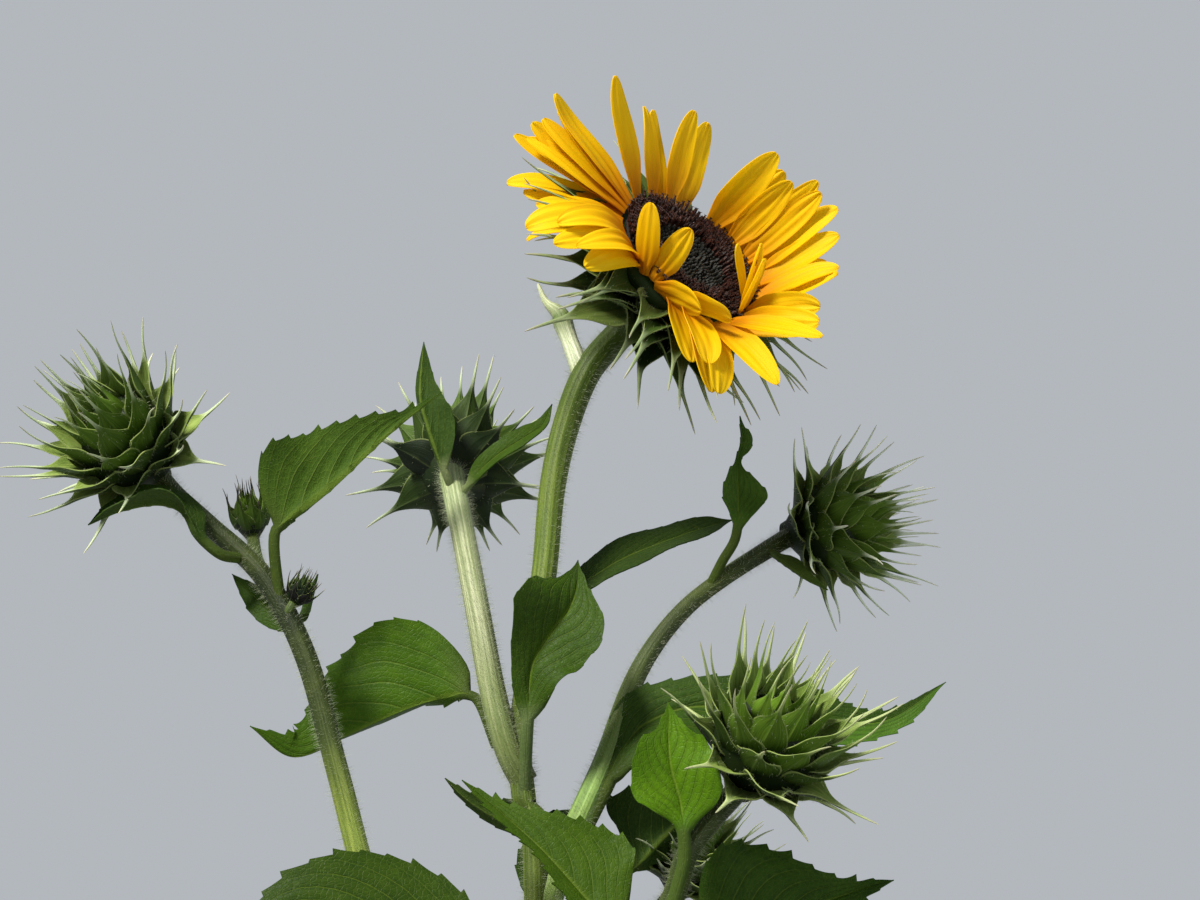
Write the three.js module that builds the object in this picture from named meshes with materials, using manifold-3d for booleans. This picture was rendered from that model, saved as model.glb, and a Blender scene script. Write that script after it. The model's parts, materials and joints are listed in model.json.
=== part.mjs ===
// A branching sunflower, rooted in the ground: one open bloom, seven closed buds, leafy hairy stems.
import * as THREE from "three";
import Module from "manifold-3d";

// Sizes in millimetres, angles in degrees. The plant stands on z = 0 and its front looks along -Y.
const crownHeight = 1550;
const crownAcross = 30;
// Crown pieces are laid out on a plane that leans back by this much, as the crown is seen from below.
const viewRise = 22;
const viewDistance = 1600;

const meetingGap = 0.35;
const bladeThickness = 0.0125;
const leastBlade = 1.3;
const leastHalf = 0.9;
const leafSteps = 8;

const discRadius = 37.5;
const discHeight = 6;
const collarInner = 38;
const collarOuter = 41.5;
const receptacleDepth = 36;
const rayThickness = 1.1;

const radians = Math.PI / 180;
const goldenAngle = 137.508;
const wasm = await Module();
wasm.setup();

const riseCos = Math.cos(viewRise * radians);
const riseSin = Math.sin(viewRise * radians);

// A point of the crown: across and up on the leaning plane, then how far it lies behind the main stem.
function place([across, up, back]) {
  const reach = (back + viewDistance * riseCos) / (viewDistance * riseCos - up * riseSin);
  const base = viewDistance * riseSin;
  return new THREE.Vector3(
    crownAcross + across * reach,
    back,
    crownHeight - base + reach * (base + up * riseCos),
  );
}

// A direction of the crown: to the right, up the leaning plane, and out of it towards the front.
function aim([right, up, near]) {
  return new THREE.Vector3(
    right,
    -up * riseSin - near * riseCos,
    up * riseCos - near * riseSin,
  ).normalize();
}

const mix = (a, b, t) => a + (b - a) * t;
const clamp01 = (t) => Math.min(1, Math.max(0, t));
const ease = (t) => clamp01(t) ** 2 * (3 - 2 * clamp01(t));

// A repeatable irregular number between -1 and 1 for a key.
function wobble(key) {
  const s = Math.sin(key * 12.9898 + 4.137) * 43758.5453;
  return 2 * (s - Math.floor(s)) - 1;
}

// A value read along a list of evenly spaced values.
function along(values, t) {
  const spot = clamp01(t) * (values.length - 1);
  const low = Math.min(Math.floor(spot), values.length - 2);
  return mix(values[low], values[low + 1], spot - low);
}

const curveThrough = (points) => new THREE.CatmullRomCurve3(points, false, "catmullrom", 0.5);

// A closed surface from corners and triangles, turned to face outwards.
function closed(points, triangles) {
  const build = (order) =>
    new wasm.Manifold(
      new wasm.Mesh({
        numProp: 3,
        vertProperties: new Float32Array(points.flatMap((p) => p.toArray())),
        triVerts: new Uint32Array(order),
      }),
    );
  const first = build(triangles);
  return first.volume() > 0 ? first : build([...triangles].reverse());
}

// A closed skin through rings of equal corners; a last ring of one corner makes a point.
// From the corner underFrom on, faces are split along their other diagonal, so that the two sides
// of a thin blade agree and don't cross where it twists.
function skin(rings, underFrom = Infinity) {
  const corners = rings[0].length;
  const points = rings.flat();
  const triangles = [];
  const next = (k) => (k + 1) % corners;
  for (let ring = 0; ring < rings.length - 1; ring += 1) {
    const here = ring * corners;
    const ahead = here + corners;
    for (let k = 0; k < corners; k += 1) {
      if (rings[ring + 1].length === 1) triangles.push(here + k, here + next(k), ahead);
      else if (k >= underFrom) {
        triangles.push(here + k, here + next(k), ahead + k);
        triangles.push(here + next(k), ahead + next(k), ahead + k);
      } else {
        triangles.push(here + k, here + next(k), ahead + next(k));
        triangles.push(here + k, ahead + next(k), ahead + k);
      }
    }
  }
  const last = (rings.length - 1) * corners;
  for (let k = 1; k < corners - 1; k += 1) {
    triangles.push(0, k + 1, k);
    if (rings.at(-1).length > 1) triangles.push(last, last + k, last + k + 1);
  }
  return closed(points, triangles);
}

// A closed ring through cornered sections.
function ringSkin(sections) {
  const corners = sections[0].length;
  const triangles = [];
  sections.forEach((_, s) => {
    const after = (s + 1) % sections.length;
    for (let k = 0; k < corners; k += 1) {
      const a = s * corners + k;
      const b = s * corners + ((k + 1) % corners);
      const c = after * corners + ((k + 1) % corners);
      const d = after * corners + k;
      triangles.push(a, b, c, a, c, d);
    }
  });
  return closed(sections.flat(), triangles);
}

// The largest piece of a solid that a cut may have parted.
function largest(solid) {
  return solid.decompose().sort((a, b) => b.volume() - a.volume())[0];
}

// Cross directions carried along a curve without turning round it.
function carriedFrames(curve, steps) {
  const frames = [];
  let side = new THREE.Vector3(1, 0, 0);
  for (let i = 0; i <= steps; i += 1) {
    const forward = curve.getTangentAt(i / steps);
    side = side.clone().addScaledVector(forward, -side.dot(forward)).normalize();
    frames.push({ at: curve.getPointAt(i / steps), forward, side, lift: forward.clone().cross(side) });
  }
  return frames;
}

// A limb: rings of a radius that follows its list of radii, grown where it has to clear a neighbour.
function limb({ points, radii, sides, steps }, grow = 0) {
  const rings = carriedFrames(curveThrough(points), steps).map(({ at, side, lift }, i) => {
    const radius = along(radii, i / steps) + grow;
    return Array.from({ length: sides }, (_, k) => {
      const turn = (2 * Math.PI * k) / sides;
      return at
        .clone()
        .addScaledVector(side, radius * Math.cos(turn))
        .addScaledVector(lift, radius * Math.sin(turn));
    });
  });
  return skin(rings);
}

// A leaf: a round stalk that widens into a folded blade along one curved midrib. The left and right
// halves have their own half widths, evenly spaced from the foot of the blade to its tip.
function leaf(spec, grow = 0) {
  const curve = curveThrough(spec.points);
  const steps = spec.steps ?? leafSteps;
  const length = curve.getLength();
  const blade = Math.max(leastBlade, length * bladeThickness) + 2 * grow;
  const rings = [];
  for (let i = 0; i < steps; i += 1) {
    const spot = i / steps;
    const forward = curve.getTangentAt(spot);
    const face = new THREE.Vector3(
      along(spec.faces.map((f) => f.x), spot),
      along(spec.faces.map((f) => f.y), spot),
      along(spec.faces.map((f) => f.z), spot),
    );
    face.addScaledVector(forward, -face.dot(forward)).normalize();
    const side = forward.clone().cross(face);
    const u = clamp01((spot - spec.stalk) / (1 - spec.stalk));
    const open = ease(u / 0.22);
    const least = Math.max(leastHalf, spec.stem * (1 - ease(u / 0.5)));
    const centre = curve.getPointAt(spot);
    const columns = [-1, -0.5, 0, 0.5, 1].map((v) => {
      const sign = Math.sign(v);
      const wide = u > 0 ? along(v < 0 ? spec.left : spec.right, u) : 0;
      const half = Math.max(wide, least) + grow;
      const fold = (v < 0 ? spec.foldLeft : spec.foldRight) * open * radians;
      const curl = spec.curl * open * radians;
      const inner = Math.abs(v) > 0 ? half / 2 : 0;
      const outer = Math.abs(v) > 0.5 ? half / 2 : 0;
      const across = sign * (inner * Math.cos(fold) + outer * Math.cos(fold + curl));
      const lift = inner * Math.sin(fold) + outer * Math.sin(fold + curl);
      // The midrib's thickness lies halfway between the two folded halves.
      const bisector = 0.5 * (spec.foldLeft - spec.foldRight) * open * radians;
      const lean = v === 0 ? bisector : -sign * (fold + (Math.abs(v) > 0.5 ? curl : curl / 2));
      const stalkThick = spec.stem * [1, 1.8, 2, 1.8, 1][Math.round(2 * v + 2)] + 2 * grow;
      const thick = mix(stalkThick, v === 0 ? 1.5 * blade : blade, open);
      return {
        at: centre.clone().addScaledVector(side, across).addScaledVector(face, lift),
        normal: face.clone().multiplyScalar(Math.cos(lean)).addScaledVector(side, Math.sin(lean)),
        thick,
      };
    });
    const upper = columns.map(({ at, normal, thick }) => at.clone().addScaledVector(normal, thick / 2));
    const under = columns.map(({ at, normal, thick }) => at.clone().addScaledVector(normal, -thick / 2));
    rings.push([...upper, ...under.reverse()]);
  }
  rings.push([curve.getPointAt(1)]);
  return skin(rings, 5);
}

// The axes of a flower head: two along its face and one out of it.
function headAxes(centre, facing) {
  const out = aim(facing);
  const right = out.clone().cross(aim([0, 0, 1])).normalize();
  return { centre, out, right, far: out.clone().cross(right) };
}

// A point of a flower head from its radius, its turn round the axis and its height along it.
function headPoint(axes, radius, turn, height) {
  return axes.centre
    .clone()
    .addScaledVector(axes.right, radius * Math.cos(turn * radians))
    .addScaledVector(axes.far, radius * Math.sin(turn * radians))
    .addScaledVector(axes.out, height);
}

// A body turned round the axis of a head from a closed outline of [radius, height] corners.
function turned(axes, outlineCorners, sides) {
  const points = outlineCorners.map(([x, y]) => new THREE.Vector2(x, y));
  const rings = points.map((p) =>
    Array.from({ length: sides }, (_, k) => headPoint(axes, p.x, (360 * k) / sides, p.y)),
  );
  return skin(rings);
}

// The directions of a head's blade at a share of its length: onward, to its side, and out of its face.
// A lean turns the blade in its own plane, and a twist turns it round its own line.
function bladeFrame(axes, spec, share) {
  const slope = mix(spec.slopeFrom, spec.slopeTo, share) * radians;
  const heading = spec.turn + spec.swing * share * share;
  const outward = headPoint(axes, 1, heading, 0).sub(axes.centre);
  const sideways = headPoint(axes, 1, heading + 90, 0).sub(axes.centre);
  const turnedBy = (a, b, angle) =>
    a.clone().multiplyScalar(Math.cos(angle)).addScaledVector(b, Math.sin(angle));
  const straight = turnedBy(outward, axes.out, slope);
  const face = turnedBy(axes.out, outward, -slope);
  const lean = (spec.lean ?? 0) * radians;
  const twist = (spec.twist ?? 0) * radians;
  const ahead = turnedBy(straight, sideways, lean);
  const across = turnedBy(sideways, straight, -lean);
  return { ahead, side: turnedBy(across, face, twist), normal: turnedBy(face, across, -twist) };
}

// A pointed blade that leaves a head: it starts at one slope and ends at another.
// Its stations give a share of the length and a share of the half width, and it ends in a point.
// With underFrom its underside is divided as its top is, so a strongly turned blade stays one sheet.
function headBlade(axes, spec, grow = 0) {
  const middle = headPoint(axes, spec.radius, spec.turn, spec.height);
  let done = 0;
  const rings = [];
  [...spec.stations, [1, 0]].forEach(([share, width]) => {
    const onward = bladeFrame(axes, spec, (done + share) / 2).ahead;
    middle.addScaledVector(onward, (share - done) * spec.length);
    done = share;
    const { side, normal } = bladeFrame(axes, spec, share);
    const wide = spec.half * width + grow;
    const deep = (spec.thick / 2) * mix(1, 0.55, share) + grow;
    const corner = (across, lift) =>
      middle.clone().addScaledVector(side, across).addScaledVector(normal, lift);
    const rim = spec.cup * wide;
    const ring = [corner(wide, rim), corner(0, deep), corner(-wide, rim), corner(0, -deep)];
    rings.push(share < 1 ? ring : [middle]);
  });
  return skin(rings, spec.underFrom);
}

// A bract is broad at its foot and runs out into a long thin tip.
const bractStations = [[0, 0.8], [0.3, 1], [0.58, 0.24]];
// A ray is narrow at its foot, widest past its middle and rounded at its tip.
const rayStations = [[0, 0.34], [0.42, 1], [0.84, 0.82]];

// A closed bud: an urn on its stalk with rows of overlapping bracts.
const bractRows = [
  { count: 8, radius: 0.66, height: -0.42, slopeFrom: -12, slopeTo: 52, length: 1.75, half: 0.4 },
  { count: 6, radius: 0.76, height: -0.1, slopeFrom: 28, slopeTo: 74, length: 1.8, half: 0.4 },
  { count: 4, radius: 0.62, height: 0.28, slopeFrom: 62, slopeTo: 98, length: 1.6, half: 0.34 },
];
function bud(spec, grow = 0) {
  const size = spec.size;
  const axes = headAxes(spec.centre, spec.facing);
  const urn = [
    [spec.neck, -1.08],
    [spec.neck * 1.25, -0.95],
    [0.6, -0.68],
    [0.87, -0.3],
    [0.87, 0.1],
    [0.6, 0.5],
    [0.12, 0.86],
  ].map(([r, z]) => [r * size + grow, z * size]);
  let solid = turned(axes, urn, spec.sides);
  spec.rows.forEach((row, number) => {
    for (let i = 0; i < row.count; i += 1) {
      const key = spec.seed + 31 * number + i;
      const blade = {
        turn: (360 * i) / row.count + (number * 180) / row.count + 7 * wobble(key),
        radius: row.radius * size,
        height: row.height * size,
        slopeFrom: row.slopeFrom + 5 * wobble(key + 0.3),
        slopeTo: row.slopeTo + 16 * wobble(key + 0.6),
        length: row.length * size * (1 + 0.12 * wobble(key + 0.9)),
        half: row.half * size,
        thick: 0.1 * size,
        cup: 0.3,
        swing: 8 * wobble(key + 0.2),
        stations: spec.stations,
      };
      solid = solid.add(headBlade(axes, blade, grow));
    }
  });
  return solid;
}

// The open bloom faces up to the right.
const bloomCentre = place([41.5, 92.5, -40]);
const bloomFacing = [0.59, 0.62, 0.515];
const bloomAxes = headAxes(bloomCentre, bloomFacing);
const bloomBack = (depth) => headPoint(bloomAxes, 0, 0, -depth);

// Rays by sector, with values at its first and its last turn: slope at the foot, bend, and length.
const raySectors = [
  { turns: [173, 197], count: 6, lift: [12, -4], bend: [-6, -16], length: [58, 68], half: 8 },
  { turns: [197, 214], count: 3, lift: [-4, -16], bend: [-36, -50], length: [48, 52], half: 7.8 },
  { turns: [216, 251], count: 5, lift: [30, 50], bend: [-80, -95], length: [52, 42], half: 8 },
  {
    turns: [254, 264], count: 2, lift: [80, 88], bend: [6, 0],
    length: [38, 36], half: 6.8, lean: [-42, 6],
  },
  {
    turns: [260, 292], count: 2, lift: [80, 74], bend: [-10, -24],
    length: [24, 37], half: 7.8, lean: [62, 58],
  },
  {
    turns: [278, 314], count: 4, lift: [14, 6], bend: [-24, -24],
    length: [40, 54], half: 8.6, lean: [40, -6],
  },
  {
    turns: [317, 331], count: 2, lift: [34, 46], bend: [-18, -16],
    length: [66, 62], half: 7.4, twist: 30,
  },
  {
    turns: [338, 356], count: 2, lift: [60, 58], bend: [-6, -6],
    length: [50, 50], half: 7.6, twist: 64,
  },
  { turns: [10, 44], count: 3, lift: [66, 62], bend: [2, 6], length: [48, 52], half: 8.2 },
  { turns: [50, 98], count: 5, lift: [72, 74], bend: [6, 8], length: [60, 54], half: 7.8 },
  { turns: [118, 150], count: 3, lift: [32, 24], bend: [4, 6], length: [54, 52], half: 7.2 },
  { turns: [158, 168], count: 1, lift: [36, 36], bend: [4, 4], length: [62, 62], half: 7.6 },
  { turns: [346, 374], count: 3, lift: [104, 126], bend: [6, 12], length: [37, 37], half: 5.4 },
];
function bloomRays() {
  const corners = [
    [collarInner, meetingGap],
    [collarOuter, meetingGap],
    [collarOuter, 3.4],
    [collarInner, 3.4],
  ];
  const rim = Array.from({ length: 36 }, (_, k) =>
    corners.map(([r, z]) => headPoint(bloomAxes, r, 10 * k, z)),
  );
  let solid = ringSkin(rim);
  raySectors.forEach((sector, number) => {
    for (let i = 0; i < sector.count; i += 1) {
      const key = 100 * number + i;
      const share = (i + 0.5) / sector.count;
      const across = ([first, last]) => mix(first, last, share);
      const lift = across(sector.lift) + (i % 2 ? 5 : -4) + 2 * wobble(key);
      const blade = {
        turn: across(sector.turns) + 2 * wobble(key + 0.1),
        radius: 0.5 * (collarInner + collarOuter),
        height: i % 2 ? 2.8 : 1.2,
        slopeFrom: lift,
        slopeTo: lift + across(sector.bend) + 8 * wobble(key + 0.4),
        length: across(sector.length) * (1 + 0.12 * wobble(key + 0.7)),
        half: sector.half,
        thick: rayThickness,
        cup: 0.22,
        lean: across(sector.lean ?? [0, 0]),
        twist: sector.twist,
        swing: 14 * wobble(key + 0.5),
        underFrom: 2,
        stations: rayStations,
      };
      solid = solid.add(headBlade(bloomAxes, blade));
    }
  });
  return solid;
}

const bloomBracts = [
  { count: 8, radius: 20, height: -27, slopeFrom: -20, slopeTo: 0, length: 58, half: 12 },
  { count: 9, radius: 32, height: -15, slopeFrom: 4, slopeTo: 6, length: 54, half: 11 },
];
function bloomBase(grow = 0) {
  const cup = [
    [8.6, -receptacleDepth],
    [12, -33.5],
    [24, -28],
    [34, -19],
    [40, -9],
    [42, -2.5],
    [41, 0],
  ].map(([r, z]) => [r + grow, z]);
  let solid = turned(bloomAxes, cup, 20);
  bloomBracts.forEach((row, number) => {
    for (let i = 0; i < row.count; i += 1) {
      const key = 500 + 40 * number + i;
      const blade = {
        turn: (360 * (i + 0.5 * number)) / row.count + 6 * wobble(key),
        radius: row.radius,
        height: row.height,
        slopeFrom: row.slopeFrom + 6 * wobble(key + 0.3),
        slopeTo: row.slopeTo + 14 * wobble(key + 0.6),
        length: row.length * (1 + 0.14 * wobble(key + 0.9)),
        half: row.half,
        thick: 1.8,
        cup: 0.22,
        swing: 6 * wobble(key + 0.2),
        stations: bractStations,
      };
      solid = solid.add(headBlade(bloomAxes, blade, grow));
    }
  });
  return solid;
}

function bloomDisc() {
  const dome = [
    [discRadius - 1, meetingGap],
    [discRadius, 1.6],
    [discRadius, discHeight - 1.5],
    [discRadius - 3, discHeight],
    [discRadius - 12, discHeight - 1],
    [discRadius - 24, discHeight - 2],
  ];
  return turned(bloomAxes, dome, 24);
}

// Stems from the ground and from their forks up to the heads they carry.
const ground = (across, back, height) => new THREE.Vector3(across, back, height);
const budSpecs = {
  bud_left: {
    centre: place([-237, 5, -44]), facing: [-0.5, 0.62, 0.6],
    size: 28, neck: 0.2, seed: 11,
  },
  bud_centre: {
    centre: place([-71, -8, 48]), facing: [0.03, 0.4, -0.92],
    size: 26, neck: 0.24, seed: 47,
  },
  bud_right: {
    centre: place([118, -38, 44]), facing: [0.92, 0.16, 0.35],
    size: 26.5, neck: 0.22, seed: 83,
  },
  bud_front: {
    centre: place([84, -146, -62]), facing: [0.42, 0.8, 0.42],
    size: 29, neck: 0.22, seed: 129,
  },
  bud_hidden: {
    centre: place([46, -204, 58]), facing: [0.35, 0.8, 0.3],
    size: 21, neck: 0.24, seed: 171,
  },
  bud_small: {
    centre: place([-175, -33, -16]), facing: [-0.1, 0.95, 0.2],
    size: 10.5, neck: 0.32, seed: 203,
  },
  bud_tiny: {
    centre: place([-150, -71, -40]), facing: [0.45, 0.8, 0.2],
    size: 7, neck: 0.32, seed: 241,
  },
};
const smallRows = [
  { count: 5, radius: 0.66, height: -0.3, slopeFrom: 20, slopeTo: 84, length: 1.9, half: 0.42 },
  { count: 3, radius: 0.5, height: 0.2, slopeFrom: 70, slopeTo: 92, length: 1.5, half: 0.34 },
];
Object.entries(budSpecs).forEach(([name, spec]) => {
  const little = spec.size < 22;
  spec.rows = spec.size < 12 ? smallRows : bractRows;
  spec.stations = little ? bractStations.slice(0, 2) : bractStations;
  spec.sides = little ? 7 : 10;
});
const budNeck = (name, depth) => {
  const spec = budSpecs[name];
  return headPoint(headAxes(spec.centre, spec.facing), 0, 0, -depth * spec.size);
};

const stems = {
  stem_main: {
    points: [
      ground(0, 0, 0),
      ground(0, 0, 90),
      ground(4, 3, 330),
      ground(-5, -2, 640),
      ground(3, 2, 960),
      place([-32, -225, 0]),
      place([-38, -175, 0]),
      place([-40, -145, 0]),
      place([-34, -100, 0]),
      place([-28, -62, 0]),
      place([-24, -20, 0]),
      place([-17, 12, -2]),
      place([-6, 40, -7]),
      bloomBack(receptacleDepth + 16),
      bloomBack(receptacleDepth - 5),
    ],
    radii: [16, 13, 12, 11.2, 10.2, 8.2, 7.4, 7, 6.2, 5.8, 5.7, 5.7, 5.8, 6.4, 7.6],
    sides: 12,
    steps: 22,
  },
  stem_left: {
    points: [
      place([-40, -370, 0]),
      place([-62, -325, -8]),
      place([-92, -272, -18]),
      place([-114, -225, -26]),
      place([-131, -162, -32]),
      place([-147, -104, -36]),
      place([-168, -64, -36]),
      place([-195, -38, -34]),
      place([-213, -22, -34]),
      budNeck("bud_left", 0.9),
    ],
    radii: [7.6, 6.8, 6.2, 5.6, 5.4, 5.2, 5.2, 5, 4.7, 5],
    sides: 8,
    steps: 16,
  },
  stem_centre: {
    points: [
      place([-38, -166, 0]),
      place([-46, -150, -3]),
      place([-53, -124, -6]),
      place([-61, -82, -4]),
      place([-69, -40, 6]),
      place([-74, -14, 20]),
      budNeck("bud_centre", 0.9),
    ],
    radii: [6.6, 6.4, 6.1, 5.9, 5.8, 6, 6.2],
    sides: 8,
    steps: 9,
  },
  stem_right: {
    points: [
      place([-33, -262, 0]),
      place([-26, -222, 4]),
      place([-8, -181, 12]),
      place([3, -155, 18]),
      place([15, -120, 26]),
      place([27, -98, 30]),
      place([43, -79, 34]),
      place([62, -64, 38]),
      place([82, -51, 41]),
      budNeck("bud_right", 0.9),
    ],
    radii: [8, 7.8, 7, 6.3, 5.4, 4.8, 4.4, 4.2, 4.4, 5],
    sides: 8,
    steps: 13,
  },
  stem_front: {
    points: [
      place([-34, -322, 0]),
      place([-8, -292, -18]),
      place([18, -258, -38]),
      place([36, -225, -50]),
      place([46, -197, -56]),
      budNeck("bud_front", 0.9),
    ],
    radii: [6.6, 6.2, 5.8, 5.3, 5.1, 5.4],
    sides: 8,
    steps: 9,
  },
  stem_hidden: {
    points: [
      place([-33, -305, 0]),
      place([-8, -272, 18]),
      place([22, -240, 46]),
      budNeck("bud_hidden", 0.9),
    ],
    radii: [5, 4.6, 4.3, 4.3],
    sides: 8,
    steps: 7,
  },
  stalk_small: {
    points: [place([-166, -66, -32]), place([-172, -54, -22]), budNeck("bud_small", 0.85)],
    radii: [3.6, 3.2, 3],
    sides: 8,
    steps: 3,
  },
  stalk_tiny: {
    points: [place([-158, -84, -38]), place([-155, -79, -40]), budNeck("bud_tiny", 0.8)],
    radii: [2.6, 2.3, 2.1],
    sides: 8,
    steps: 3,
  },
  stub_dry: {
    points: [
      place([-8, 34, -6]),
      place([-12, 46, -7]),
      place([-18, 62, -8]),
      place([-20, 68, -8]),
      place([-27, 74, -8]),
      place([-31, 83, -8]),
    ],
    radii: [5.4, 5, 4.6, 3.2, 1.5, 0.9],
    sides: 8,
    steps: 10,
  },
};

const front = [0, 0, 1];
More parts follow.
